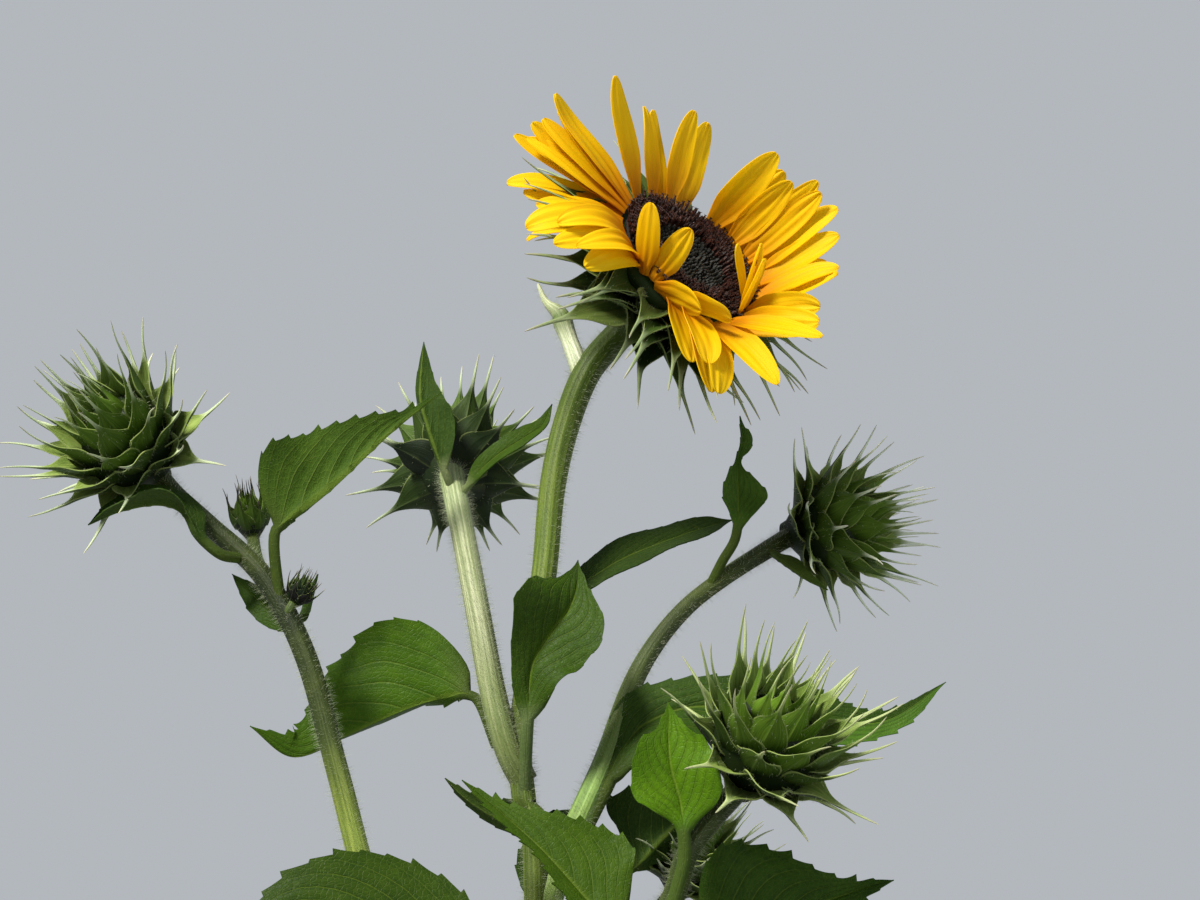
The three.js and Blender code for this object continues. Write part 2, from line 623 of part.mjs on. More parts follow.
// Leaves of the crown: midrib from the stalk's foot to the tip, where the upper face looks on the way,
// the widths of each half (right as left where it has none), and how far each is folded up and curled.
const crownLeaves = {
  leaf_left_top: {
    path: [
      [-160, -76, -38], [-163, -46, -46], [-158, -36, -47],
      [-134, -17, -46], [-104, 10, -40], [-79, 29, -36],
    ],
    faces: [[0.3, 0.3, -1], [0.2, 0.3, -1]],
    left: [3, 3, 6, 10, 13, 14, 12, 9, 5, 2, 0],
    right: [3, 26, 33.5, 30, 25.5, 21.5, 16, 10, 3.5, 1.2, 0],
    stalk: 0.24, foldLeft: 105, foldRight: 4, curl: -6, stem: 2.6,
  },
  leaf_left_middle: {
    path: [
      [-52, -148, -3], [-60, -127, -2], [-66, -122.5, 0], [-76, -123, 3],
      [-100, -131, 6], [-129, -144, 8], [-154, -153.5, 8], [-175, -138, 4],
    ],
    faces: [[0, 0.35, 0.95], [-0.2, 0.3, 1], [-0.2, 0.1, 1]],
    left: [2, 4, 9, 14, 16, 15, 12, 9, 6, 3, 0],
    right: [3, 34, 43, 45, 39, 34, 23, 14, 12, 6, 0],
    stalk: 0.2, foldLeft: -100, foldRight: 4, curl: -4, stem: 2.4,
  },
  leaf_centre: {
    path: [
      [-38, -168, -8], [-37, -148, -12], [-36, -132, -15], [-34, -108, -18],
      [-25, -92, -18], [-16, -80, -17], [-12, -70, -15], [-11, -55, -13],
    ],
    faces: [front, front],
    left: [3, 6, 9, 11.5, 18.5, 26.5, 28, 25.5, 16, 6, 0],
    right: [3, 9, 14, 20, 22.5, 23, 23.5, 18.5, 8, 3.3, 0],
    stalk: 0.3, foldLeft: 30, foldRight: 24, curl: -4, stem: 3,
  },
  leaf_behind_centre: {
    path: [[-26, -78, 3], [-16, -72, 16], [10, -55, 30], [40, -43, 46], [66, -35, 52]],
    faces: [[0, 0.9, 0.5], [0, 0.9, 0.5]],
    left: [2, 7, 9.5, 11, 12, 12, 11.5, 10.5, 9.5, 6.5, 0],
    stalk: 0.14, foldLeft: 12, foldRight: 12, curl: 0, stem: 2.2,
  },
  leaf_right_top: {
    path: [
      [54, -70, 36], [61, -56, 31], [68, -43, 27], [69, -24, 24],
      [69, -7, 22], [71.5, 4, 22], [70, 17, 24],
    ],
    faces: [front, front, [0.5, 0, 0.6]],
    left: [1.2, 2.6, 5.3, 8.3, 7.7, 4.9, 1.1, 1.5, 1.4, 0.8, 0],
    right: [1.2, 4.6, 10.8, 15, 11.3, 4.6, 0.9, 3.7, 5.1, 1.6, 0],
    stalk: 0.33, foldLeft: 20, foldRight: 14, curl: 0, stem: 2.4,
  },
  leaf_behind_front: {
    path: [
      [-7, -190, 10], [4, -168, 12], [12, -150, 14], [24, -136, 16],
      [50, -128, 18], [95, -133, 20], [140, -136, 20], [173, -116, 18],
    ],
    faces: [[-0.5, 0.6, 0.6], [-0.2, 0.5, 0.9], [0, 0.4, 1]],
    left: [2, 8, 18, 15.5, 16, 17, 15, 10, 5.5, 2.5, 0],
    right: [3, 14, 22, 23, 20, 16, 15, 13, 8, 5, 0],
    stalk: 0.11, foldLeft: 10, foldRight: 14, curl: -4, stem: 3,
  },
  leaf_front: {
    path: [
      [36, -228, -58], [42, -206, -62], [42, -193, -65],
      [40, -175, -67], [35, -155, -69], [34, -126, -70],
    ],
    faces: [front, front],
    left: [3, 5.2, 13.4, 19, 20.6, 19, 16.5, 13, 5.2, 2, 0],
    right: [3, 7.5, 18, 21.8, 22.3, 21.8, 20.2, 16, 8, 3.7, 0],
    stalk: 0.34, foldLeft: 14, foldRight: 20, curl: 4, stem: 3,
  },
  leaf_low_front: {
    path: [
      [-22, -300, -10], [6, -272, -38], [8, -243, -46], [-9, -222, -46],
      [-28, -201, -45], [-43, -187, -43], [-56, -176, -41], [-69, -165, -40],
    ],
    faces: [[0.2, 0.6, 0.9], [0.2, 0.6, 0.9]],
    left: [3, 6, 9, 9, 7, 5, 5, 5, 3.5, 2, 0],
    right: [3, 18, 30, 33, 29, 22, 15, 8.5, 4.2, 2, 0],
    stalk: 0.41, foldLeft: 26, foldRight: 8, curl: 0, stem: 3,
  },
  leaf_behind_stem: {
    path: [
      [-30, -218, 4], [-27, -202, 16], [-38, -190, 22],
      [-56, -181, 22], [-68, -173, 20], [-77.5, -164, 18],
    ],
    faces: [[0.1, 0.5, -0.85], [0.1, 0.5, -0.85]],
    left: [2, 8, 12, 14, 14, 10, 6.5, 4.5, 3, 1.5, 0],
    right: [2, 5, 7, 8.5, 9, 8, 6.5, 5, 3.5, 1.6, 0],
    stalk: 0.26, foldLeft: 10, foldRight: 20, curl: 0, stem: 2.2,
  },
  leaf_behind_fork: {
    path: [[-33, -240, 4], [-27, -214, 20], [-22, -191, 22], [-13, -185, 24], [-4, -190, 26]],
    faces: [[0, 0.7, 0.6], [0, 0.7, 0.6]],
    left: [2, 8, 12, 14.5, 15, 14, 12, 9, 6, 3, 0],
    stalk: 0.2, foldLeft: 10, foldRight: 10, curl: 0, stem: 2.2, steps: 6,
  },
  leaf_low_left: {
    path: [[-36, -322, -8], [-62, -278, -30], [-100, -240, -44], [-145, -232, -52], [-186, -250, -54]],
    faces: [[0, 0.7, 0.7], [0, 0.6, 0.8]],
    left: [3, 14, 25, 33, 36, 35, 31, 25, 17, 9, 0],
    right: [3, 14, 24, 31, 33, 32, 29, 24, 17, 9, 0],
    stalk: 0.24, foldLeft: 20, foldRight: 10, curl: -4, stem: 3.4,
  },
  leaf_low_right: {
    path: [
      [-26, -330, -6], [24, -290, -20], [56, -252, -28], [84, -236, -30],
      [112, -226, -30], [131, -219.5, -30], [147, -215, -30],
    ],
    faces: [[0.1, 0.6, 0.8], [0.1, 0.5, 0.9]],
    left: [6, 28, 38, 39, 35, 27, 18, 10, 4.5, 2.5, 0],
    right: [6, 22, 32, 36, 33, 26, 18, 11, 6, 3, 0],
    stalk: 0.54, foldLeft: 16, foldRight: 20, curl: -4, stem: 3.4,
  },
  leaf_right_under: {
    path: [
      [-16, -232, 8], [4, -216, 26], [17, -208, 32],
      [28, -197, 34], [40, -184, 34], [48, -168, 32],
    ],
    faces: [[-0.1, 0.2, -1], [-0.1, 0.3, -1]],
    left: [3, 5, 7, 9, 10, 10, 9, 8, 6, 3, 0],
    right: [8, 18, 27, 31, 30, 28, 24, 19, 12, 6, 0],
    stalk: 0.48, foldLeft: 14, foldRight: 12, curl: 0, stem: 2.6,
  },
  leaf_bud_upper: {
    path: [[-73, -22, 15], [-77, -12, 7], [-81, -1, 4], [-86, 13, 2], [-89.5, 28, 3], [-88, 54, 6]],
    faces: [[0.5, 0.1, -1], [0.3, 0.1, -1]],
    left: [2, 6.6, 10.5, 12.6, 13, 12, 10, 6.6, 4.4, 2.2, 0],
    right: [2, 2.4, 2.6, 2.8, 3, 3.4, 3.8, 3.6, 2.6, 1.5, 0],
    stalk: 0.15, foldLeft: 20, foldRight: 26, curl: 0, stem: 2, steps: 6,
  },
  leaf_bud_lower: {
    path: [
      [-72, -26, 15], [-66, -18, 8], [-60.5, -10.5, 4], [-50, -1.5, 2],
      [-37.5, 6.5, 1], [-29, 12.5, 2], [-24, 23, 2],
    ],
    faces: [[-0.2, 0.6, 0.7], [-0.2, 0.6, 0.7]],
    left: [1.5, 3.5, 5, 5.8, 6.2, 6.2, 5.8, 5, 3.8, 2, 0],
    stalk: 0.14, foldLeft: 20, foldRight: 20, curl: 0, stem: 1.8, steps: 6,
  },
  leaf_under_bud: {
    path: [
      [-181, -54, -38], [-190, -52, -44], [-200, -43, -47], [-208, -30, -48],
      [-221, -26, -49], [-240, -30, -50], [-256, -37.5, -51],
    ],
    faces: [[0.6, 0.5, 0.2], [0.1, 1, 0.1], [0, 1, 0.1]],
    left: [2.6, 4, 6, 8.5, 11, 12, 12, 10.5, 8, 4.5, 0],
    stalk: 0.18, foldLeft: 34, foldRight: 34, curl: 0, stem: 2.6,
  },
  leaf_small_left: {
    path: [[-152, -94, -37], [-158, -86, -30], [-172, -74, -24], [-184, -62, -22]],
    faces: [front, front],
    left: [1.6, 4, 6, 7.2, 7.6, 7.2, 6.4, 5, 3.4, 1.6, 0],
    stalk: 0.12, foldLeft: 10, foldRight: 10, curl: 0, stem: 1.8, steps: 6,
  },
  leaf_small_right: {
    path: [[-156, -86, -35], [-148, -84, -22], [-145, -73, -18], [-141, -62, -18]],
    faces: [[-0.6, 0, 0.8], [-0.6, 0, 0.8]],
    left: [1.3, 2.4, 3.2, 3.6, 3.6, 3.4, 3, 2.4, 1.6, 0.8, 0],
    stalk: 0.12, foldLeft: 10, foldRight: 10, curl: 0, stem: 1.5, steps: 6,
  },
  leaf_bud_sheath: {
    path: [[84, -50, 41], [90, -54, 34], [103, -64, 30], [114, -70, 30]],
    faces: [[0.3, 0.8, 0.4], [0.3, 0.8, 0.4]],
    left: [1.5, 3.5, 5, 5.8, 6, 5.6, 4.8, 3.8, 2.5, 1.2, 0],
    stalk: 0.12, foldLeft: 20, foldRight: 20, curl: 0, stem: 1.8, steps: 6,
  },
};

// Lower leaves climb the main stem by the golden angle on stalks that rise, then let the blade hang.
const lowerLeafCount = 9;
const lowerLeafFrom = 270;
const lowerLeafRise = 102;
const lowerLeafHalf = 68;
const ovate = [0.12, 0.62, 0.92, 1, 0.95, 0.84, 0.7, 0.54, 0.36, 0.17, 0];
function lowerLeaf(number, stemCurve) {
  const height = lowerLeafFrom + lowerLeafRise * number + 14 * wobble(number + 0.5);
  const foot = stemCurve.getPointAt(stemShare(stemCurve, height));
  const turn = (goldenAngle * number + 20) * radians;
  const out = new THREE.Vector3(Math.cos(turn), Math.sin(turn), 0);
  const size = mix(1.12, 0.86, number / lowerLeafCount) * (1 + 0.06 * wobble(number + 0.8));
  const upward = new THREE.Vector3(0, 0, 1);
  const step = (away, up) =>
    foot.clone().addScaledVector(out, away * size).addScaledVector(upward, up * size);
  const face = (away, up) => out.clone().multiplyScalar(away).addScaledVector(upward, up);
  return {
    points: [foot.clone(), step(44, 36), step(96, 58), step(160, 44), step(210, 2), step(244, -58)],
    faces: [face(-0.5, 0.9), face(0, 1), face(0.6, 0.8), face(0.9, 0.4)],
    left: ovate.map((share) => share * lowerLeafHalf * size),
    right: ovate.map((share) => share * lowerLeafHalf * size),
    stalk: 0.34,
    foldLeft: 16,
    foldRight: 16,
    curl: -14,
    stem: 3.6,
    steps: 7,
  };
}

// Share of the stem's length at which it reaches a height.
function stemShare(curve, height) {
  let low = 0;
  let high = 1;
  for (let i = 0; i < 30; i += 1) {
    const middle = (low + high) / 2;
    if (curve.getPointAt(middle).z < height) low = middle;
    else high = middle;
  }
  return low;
}

const leaves = {};
Object.entries(crownLeaves).forEach(([name, spec]) => {
  leaves[name] = {
    right: spec.left,
    ...spec,
    points: spec.path.map(place),
    faces: spec.faces.map(aim),
  };
});
const mainCurve = curveThrough(stems.stem_main.points);
for (let number = 0; number < lowerLeafCount; number += 1) {
  leaves["leaf_lower_" + String(number + 1).padStart(2, "0")] = lowerLeaf(number, mainCurve);
}

const barkGreen = 0x8a9a3c;
const leafGreen = 0x3f6b1e;
const budGreen = 0x4a6e26;
const rayYellow = 0xf6b40c;
const discBrown = 0x2a1710;

// Stems are cut by the stems before them, heads by their stems, and leaves by everything they touch.
const solids = new Map();
const grown = [];
function keep(name, solid, grownSolid) {
  const cut = grown.reduce((rest, other) => (overlaps(rest, other) ? rest.subtract(other) : rest), solid);
  solids.set(name, largest(cut));
  grown.push(grownSolid);
}
function overlaps(a, b) {
  const p = a.boundingBox();
  const q = b.boundingBox();
  return [0, 1, 2].every((k) => p.min[k] < q.max[k] && q.min[k] < p.max[k]);
}

Object.entries(stems).forEach(([name, spec]) => keep(name, limb(spec), limb(spec, meetingGap)));
keep("bloom_base", bloomBase(), bloomBase(meetingGap));
keep("bloom_disc", bloomDisc(), bloomDisc());
const rays = bloomRays();
keep("bloom_rays", rays, rays);
Object.entries(budSpecs).forEach(([name, spec]) => keep(name, bud(spec), bud(spec, meetingGap)));
Object.entries(leaves).forEach(([name, spec]) => keep(name, leaf(spec), leaf(spec, meetingGap)));

const colours = { stem: barkGreen, stal: barkGreen, stub: barkGreen, bud_: budGreen, leaf: leafGreen };
const bloomColours = { bloom_base: budGreen, bloom_disc: discBrown, bloom_rays: rayYellow };
const plant = new THREE.Group();
plant.name = "sunflower_plant";
solids.forEach((solid, name) => {
  const { vertProperties, triVerts } = solid.getMesh();
  const geometry = new THREE.BufferGeometry();
  geometry.setAttribute("position", new THREE.BufferAttribute(new Float32Array(vertProperties), 3));
  geometry.setIndex(new THREE.BufferAttribute(new Uint32Array(triVerts), 1));
  geometry.computeVertexNormals();
  const colour = bloomColours[name] ?? colours[name.slice(0, 4)];
  const mesh = new THREE.Mesh(geometry, new THREE.MeshStandardMaterial({ color: colour, roughness: 0.6 }));
  mesh.name = name;
  plant.add(mesh);
});

export default plant;
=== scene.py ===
import json
import math

import bmesh
import bpy
import numpy as np
from bpy.props import FloatProperty, FloatVectorProperty, IntProperty, PointerProperty
from mathutils import Matrix, Vector

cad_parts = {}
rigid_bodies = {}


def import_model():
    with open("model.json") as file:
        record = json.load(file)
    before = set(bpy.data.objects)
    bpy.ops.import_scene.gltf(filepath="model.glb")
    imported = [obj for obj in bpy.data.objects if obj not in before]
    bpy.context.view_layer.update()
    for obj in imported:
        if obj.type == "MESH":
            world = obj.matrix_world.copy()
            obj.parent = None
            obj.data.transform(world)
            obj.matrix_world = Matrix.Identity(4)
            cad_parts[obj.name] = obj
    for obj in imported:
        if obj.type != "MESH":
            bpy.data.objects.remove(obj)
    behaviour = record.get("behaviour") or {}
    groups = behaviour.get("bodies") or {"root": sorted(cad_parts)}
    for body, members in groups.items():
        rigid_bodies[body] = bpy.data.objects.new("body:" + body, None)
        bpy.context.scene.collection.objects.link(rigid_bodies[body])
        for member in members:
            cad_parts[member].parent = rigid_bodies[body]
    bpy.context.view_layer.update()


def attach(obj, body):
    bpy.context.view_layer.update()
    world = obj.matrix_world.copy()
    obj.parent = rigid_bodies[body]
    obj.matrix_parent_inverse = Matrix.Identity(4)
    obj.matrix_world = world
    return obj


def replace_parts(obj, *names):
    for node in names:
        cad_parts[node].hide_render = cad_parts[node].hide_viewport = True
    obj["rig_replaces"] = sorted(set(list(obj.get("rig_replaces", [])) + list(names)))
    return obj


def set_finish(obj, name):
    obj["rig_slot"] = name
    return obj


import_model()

# Looks of a branching sunflower: an open bloom, closed buds, leafy hairy stems, and a plain stage.
# Sizes are in millimetres unless a name says otherwise; meshes are made in metres.

bl_info = {
    "name": "Sunflower plant",
    "version": (1, 0, 0),
    "blender": (4, 5, 0),
    "location": "3D View > Sidebar > Sunflower",
    "description": "Makes the stems, leaves, buds and bloom of a sunflower plant, and its stage",
    "category": "Add Mesh",
}

METRES = 0.001
GOLDEN_ANGLE = 137.508
CREASE = math.radians(55)

# The camera looks up at the crown, whose places are given on the plane that faces the camera.
CROWN_HEIGHT = 1550
CROWN_ACROSS = 30
VIEW_DISTANCE = 1600
VIEW_RISE = math.radians(22)
RISE_COS = math.cos(VIEW_RISE)
RISE_SIN = math.sin(VIEW_RISE)
VIEW_BACK = VIEW_DISTANCE * RISE_COS
VIEW_DROP = VIEW_DISTANCE * RISE_SIN

# Limbs: the lengths over which they turn and swell, and the share of the radius they swell by.
TWIST_LENGTH = 130
SWELL_LENGTH = 17
SWELL = 0.018

# Leaves: how finely they are divided, where the blade is open, and the powers of its curves.
STALK_RINGS = 12
RINGS_PER_TOOTH = 7
HALF_COLUMNS = 14
OPEN_FROM_STALK = 0.22
VEIN_CURVE = 1.15
TOOTH_CURVE = 11
MARGIN_WAVES = 2.2
LEAF_BELOW = "445724"
LEAF_STALK = "46561f"

# Heads: rings and columns of a bract and of a ray, where a bract's needle begins, how dark its
# tint may be, and the bloom's own sizes.
BRACT_GRID = (26, 11)
RAY_GRID = (34, 19)
NEEDLE_FROM = 0.5
LEAST_GREEN = 0.005
RAY_FOOT = 39.75
RAY_THICKNESS = 0.44
RECEPTACLE_DEPTH = 36

# In metres: the radius of the hairs on leaves and bracts, and the stage.
FINE_HAIR = 0.00008
FLOOR_RADIUS = 6
KEY_SPOT = (-1.17, -1.69, 3.14)
FILL_SPOT = (1.8, -1.6, 1.6)


# Rules of place and shape

def place(across, up, back):
    """A point of the crown: across and up on its leaning plane, then how far behind the stem."""
    reach = (back + VIEW_BACK) / (VIEW_BACK - up * RISE_SIN)
    height = CROWN_HEIGHT - VIEW_DROP + reach * (VIEW_DROP + up * RISE_COS)
    return np.array([CROWN_ACROSS + across * reach, back, height])


def unit(vectors):
    return vectors / np.linalg.norm(vectors, axis=-1, keepdims=True)


def aim(right, up, near):
    """A direction of the crown: to the right, up its leaning plane, and out towards the front."""
    return unit(np.array([right, -up * RISE_SIN - near * RISE_COS, up * RISE_COS - near * RISE_SIN]))


def points_of(spec):
    """The points of a limb or leaf: some from the ground up, its places, and its ends at a head."""
    return [*spec.get("ground", ()), *(place(*spot) for spot in spec["path"]), *spec.get("ends", ())]


def mix(a, b, t):
    return a + (b - a) * t


def ease(t):
    t = np.clip(t, 0, 1)
    return t * t * (3 - 2 * t)


def wobble(key):
    """A repeatable irregular number between -1 and 1."""
    s = np.sin(key * 12.9898 + 4.137) * 43758.5453
    return 2 * (s - np.floor(s)) - 1


def along(values, t):
    """Evenly spaced values read at shares t of their list."""
    values = np.array(values, float)
    spots = np.linspace(0, 1, len(values))
    if values.ndim == 1:
        return np.interp(t, spots, values)
    return np.stack([np.interp(t, spots, column) for column in values.T], -1)


def paint(code):
    """A colour written as six hex digits, in linear light."""
    parts = [int(code[k:k + 2], 16) / 255 for k in (0, 2, 4)]
    return tuple(p / 12.92 if p < 0.04045 else ((p + 0.055) / 1.055) ** 2.4 for p in parts)


def bent(p0, p1, p2, p3, t):
    """A value between p1 and p2 on the smooth line through four values."""
    slope1 = 0.5 * (p2 - p0)
    slope2 = 0.5 * (p3 - p1)
    square = -3 * p1 + 3 * p2 - 2 * slope1 - slope2
    cube = 2 * p1 - 2 * p2 + slope1 + slope2
    return p1 + slope1 * t + square * t**2 + cube * t**3


class Curve:
    """A smooth curve through points, read by the share of its length."""

    def __init__(self, points):
        inner = np.array(points, float)
        first = 2 * inner[0] - inner[1]
        last = 2 * inner[-1] - inner[-2]
        self.points = np.vstack([first, inner, last])
        self.times = np.linspace(0, 1, 201)
        steps = np.linalg.norm(np.diff(self.at_time(self.times), axis=0), axis=1)
        lengths = np.concatenate([[0], np.cumsum(steps)])
        self.length = lengths[-1]
        self.shares = lengths / self.length

    def at_time(self, time):
        spans = len(self.points) - 3
        spot = np.clip(np.asarray(time, float), 0, 1) * spans
        low = np.minimum(np.floor(spot).astype(int), spans - 1)
        t = (spot - low)[..., None]
        return bent(*(self.points[low + k] for k in range(4)), t)

    def at(self, share):
        return self.at_time(np.interp(share, self.shares, self.times))

    def forward(self, share):
        time = np.interp(share, self.shares, self.times)
        return unit(self.at_time(time + 1e-4) - self.at_time(time - 1e-4))


def linked(name, data):
    """A new object in the scene."""
    made = bpy.data.objects.new(name, data)
    bpy.context.collection.objects.link(made)
    return made


def mesh_of(body, name):
    """The mesh of a bmesh, which is freed."""
    mesh = bpy.data.meshes.new(name)
    body.to_mesh(mesh)
    body.free()
    return mesh


class Piece:
    """Corners and faces of one piece, with the values that its finish reads."""

    def __init__(self):
        self.points = []
        self.places = []
        self.tints = []
        self.fringes = []
        self.faces = []
        self.finishes = []
        self.caps = []
        self.count = 0

    def corners(self, grid, spots, tint, fringe=0.0):
        """Adds a grid of corners and gives the number of each."""
        shape = grid.shape[:2]
        self.points.append(grid.reshape(-1, 3))
        self.places.append(np.broadcast_to(spots, shape + (3,)).reshape(-1, 3))
        self.tints.append(np.broadcast_to(tint, shape + (3,)).reshape(-1, 3))
        self.fringes.append(np.broadcast_to(fringe, shape).reshape(-1))
        numbers = self.count + np.arange(shape[0] * shape[1]).reshape(shape)
        self.count += numbers.size
        return numbers

    def quads(self, numbers, turned=False, finish=0):
        a, b, c, d = numbers[:-1, :-1], numbers[1:, :-1], numbers[1:, 1:], numbers[:-1, 1:]
        quads = np.stack([a, d, c, b] if turned else [a, b, c, d], -1).reshape(-1, 4)
        self.faces.append(quads)
        self.finishes.append(np.full(len(quads), finish))

    def tube(self, grid, spots, tint, fringe):
        """A closed tube from rings of corners."""
        numbers = self.corners(grid, spots, tint, fringe)
        self.quads(np.concatenate([numbers, numbers[:, :1]], axis=1), turned=True)
        self.caps.append(numbers[0, ::-1].tolist())
        self.caps.append(numbers[-1].tolist())

    def sheet(self, middle, normal, over, under, spots, tints, fringe=0.0, finishes=(0, 0)):
        """A thin closed blade round a grid, with its own tint and finish on each side."""
        top = self.corners(middle + normal * over[..., None], spots, tints[0], fringe)
        low = self.corners(middle - normal * under[..., None], spots, tints[1], fringe)
        rows = middle[1:, :-1] - middle[:-1, :-1]
        columns = middle[:-1, 1:] - middle[:-1, :-1]
        facing = np.sum(np.cross(rows, columns) * normal[:-1, :-1]) > 0
        self.quads(top, turned=not facing, finish=finishes[0])
        self.quads(low, turned=facing, finish=finishes[1])
        rim = np.stack([self.border(top), self.border(low)])
        self.quads(rim, turned=not facing, finish=finishes[0])

    @staticmethod
    def border(n):
        return np.concatenate([n[:, 0], n[-1, 1:], n[-2::-1, -1], n[0, -2::-1]])

    def build(self, name, finishes):
        mesh = bpy.data.meshes.new(name)
        faces = np.concatenate(self.faces).tolist() + self.caps
        mesh.from_pydata((np.concatenate(self.points) * METRES).tolist(), [], faces)
        for finish in finishes:
            mesh.materials.append(finish)
        numbers = np.concatenate([*self.finishes, np.zeros(len(self.caps), int)])
        mesh.polygons.foreach_set("material_index", numbers.astype(np.int32))
        tints = np.concatenate(self.tints)
        for label, kind, key, values in (
            ("place", "FLOAT_VECTOR", "vector", np.concatenate(self.places)),
            ("tint", "FLOAT_COLOR", "color", np.hstack([tints, np.ones((len(tints), 1))])),
            ("fringe", "FLOAT", "value", np.concatenate(self.fringes)),
        ):
            attribute = mesh.attributes.new(label, kind, "POINT")
            attribute.data.foreach_set(key, values.astype(np.float32).ravel())
        mesh.shade_smooth()
        mesh.set_sharp_from_angle(angle=CREASE)
        mesh.update()
        return linked(name, mesh)


def spots_of(u, v, seed):
    """Along, across and seed of each corner of a grid."""
    u, v = np.broadcast_arrays(u, v)
    return np.stack([u, v, np.full(u.shape, seed)], -1)


# Stems

def carried(curve, shares):
    """Cross directions carried along a curve without turning round it."""
    forward = curve.forward(shares)
    side = np.array([1.0, 0, 0])
    sides = []
    for direction in forward:
        side = side - direction * (side @ direction)
        side = side / np.linalg.norm(side)
        sides.append(side)
    sides = np.array(sides)
    return curve.at(shares), sides, np.cross(forward, sides)


def add_limb(piece, spec, settings, seed):
    """A tapering limb with low ridges along it."""
    curve = Curve(points_of(spec))
    steps = max(8, int(curve.length / settings.ring_step))
    shares = np.linspace(0, 1, steps + 1)
    at, side, lift = carried(curve, shares)
    sides = spec.get("sides", 36)
    turn = np.arange(sides) * 2 * math.pi / sides
    run = shares * curve.length
    twist = 0.5 * np.sin(run / TWIST_LENGTH + seed)[:, None]
    ridge = np.cos(settings.ridges * turn[None] + twist)
    ridge = ridge + 0.5 * np.cos(5 * turn[None] - 2 * twist)
    swell = SWELL * np.sin(run / SWELL_LENGTH + 2 * seed)[:, None]
    radius = along(spec["radii"], shares)[:, None]
    radius = radius * (1 + settings.ridge_depth * ridge + swell * np.cos(turn[None] + seed))
    round_x = radius[..., None] * np.cos(turn)[None, :, None] * side[:, None]
    round_y = radius[..., None] * np.sin(turn)[None, :, None] * lift[:, None]
    grid = at[:, None] + round_x + round_y
    # Painted light and shade: the tints along the stem are lighter and darker where light and shade
    # fell, on top of its own green.
    tint = along([paint(code) for code in spec["tints"]], shares)[:, None]
    # Painted shade: the tint is up to a tenth darker in the furrows between the ridges and lighter on
    # the ridges.
    tint = tint * (1 + 0.1 * np.clip(ridge, -1, 1))[..., None]
    spots = spots_of((run / 100)[:, None], turn[None] / (2 * math.pi), seed)
    fringe = along(spec.get("hairy", [1]), shares)[:, None]
    piece.tube(grid, spots, tint, fringe)


# Leaves

def smooth(values, t):
    """Evenly spaced values read at shares t of their list, on a smooth line that stays above 0."""
    padded = np.array([values[0], *values, values[-1]], float)
    spot = np.clip(t, 0, 1) * (len(values) - 1)
    low = np.minimum(np.floor(spot).astype(int), len(values) - 2)
    return np.maximum(bent(*(padded[low + k] for k in range(4)), spot - low), 0)


def half_blade(widths, fold, curl, stem, u, ring):
    """Half of a blade from its midrib out: its width, slopes, runs across and lifts."""
    half = np.maximum(smooth(widths, u) * ease(u / 0.03), stem * (1 - ease(u / 0.5))) + 0.12
    slope = np.radians(fold + curl * ease((ring - 0.25) / 0.5)) * ease(u / OPEN_FROM_STALK)
    between = 0.5 * (slope[:, 1:] + slope[:, :-1])
    step = half * np.diff(ring)
    across = np.cumsum(np.hstack([0 * half, step * np.cos(between)]), axis=1)
    lift = np.cumsum(np.hstack([0 * half, step * np.sin(between)]), axis=1)
    return half * np.ones_like(ring), slope, across, lift


def margin_teeth(u, v, teeth, depth, sharpness, seed):
    """How far the margin's teeth stand out: they lean to the tip, each a little different."""
    counted = u * teeth + 0.3 * wobble(seed) * (v < 0)
    point = (counted % 1) ** sharpness * (0.7 + 0.3 * wobble(np.floor(counted) + seed))
    return depth * point * ease(u / 0.12) * ease((1 - u) / 0.2) * np.abs(v) ** TOOTH_CURVE


def leaf_tints(spec, u, v, pillow):
    """Tints of a leaf's upper and lower face: painted shade that darkens them along the sunken veins
    and lightens the raised blade between, painted sunlight on one half towards the tip, and the stalk's
    at its foot.
    """
    spec = {"below": LEAF_BELOW, "stalk_tint": LEAF_STALK, **spec}
    keys = ("bright", "dark", "below", "stalk_tint")
    bright, dark, below, stalk = (np.array(paint(spec[key])) for key in keys)
    # Painted shade: the tint darkens where the blade sinks along the veins and lightens on the raised
    # parts between them.
    painted_relief_shade = ease(0.5 + 0.9 * pillow) * np.ones_like(v)
    top = mix(dark, bright, (0.35 + 0.65 * painted_relief_shade)[..., None])
    # Painted sunlight: one half of the blade grows brighter towards the tip, by the factor the leaf
    # gives.
    painted_sunlit_share = ease((u - 0.45) / 0.3) * ease(0.5 + v)
    top = top * mix(1, spec.get("painted_sunlight", 1), painted_sunlit_share)[..., None]
    stalk_share = (1 - ease(u / 0.12))[..., None]
    return [mix(tint, stalk, stalk_share) for tint in (top, mix(top, below, 0.6))]


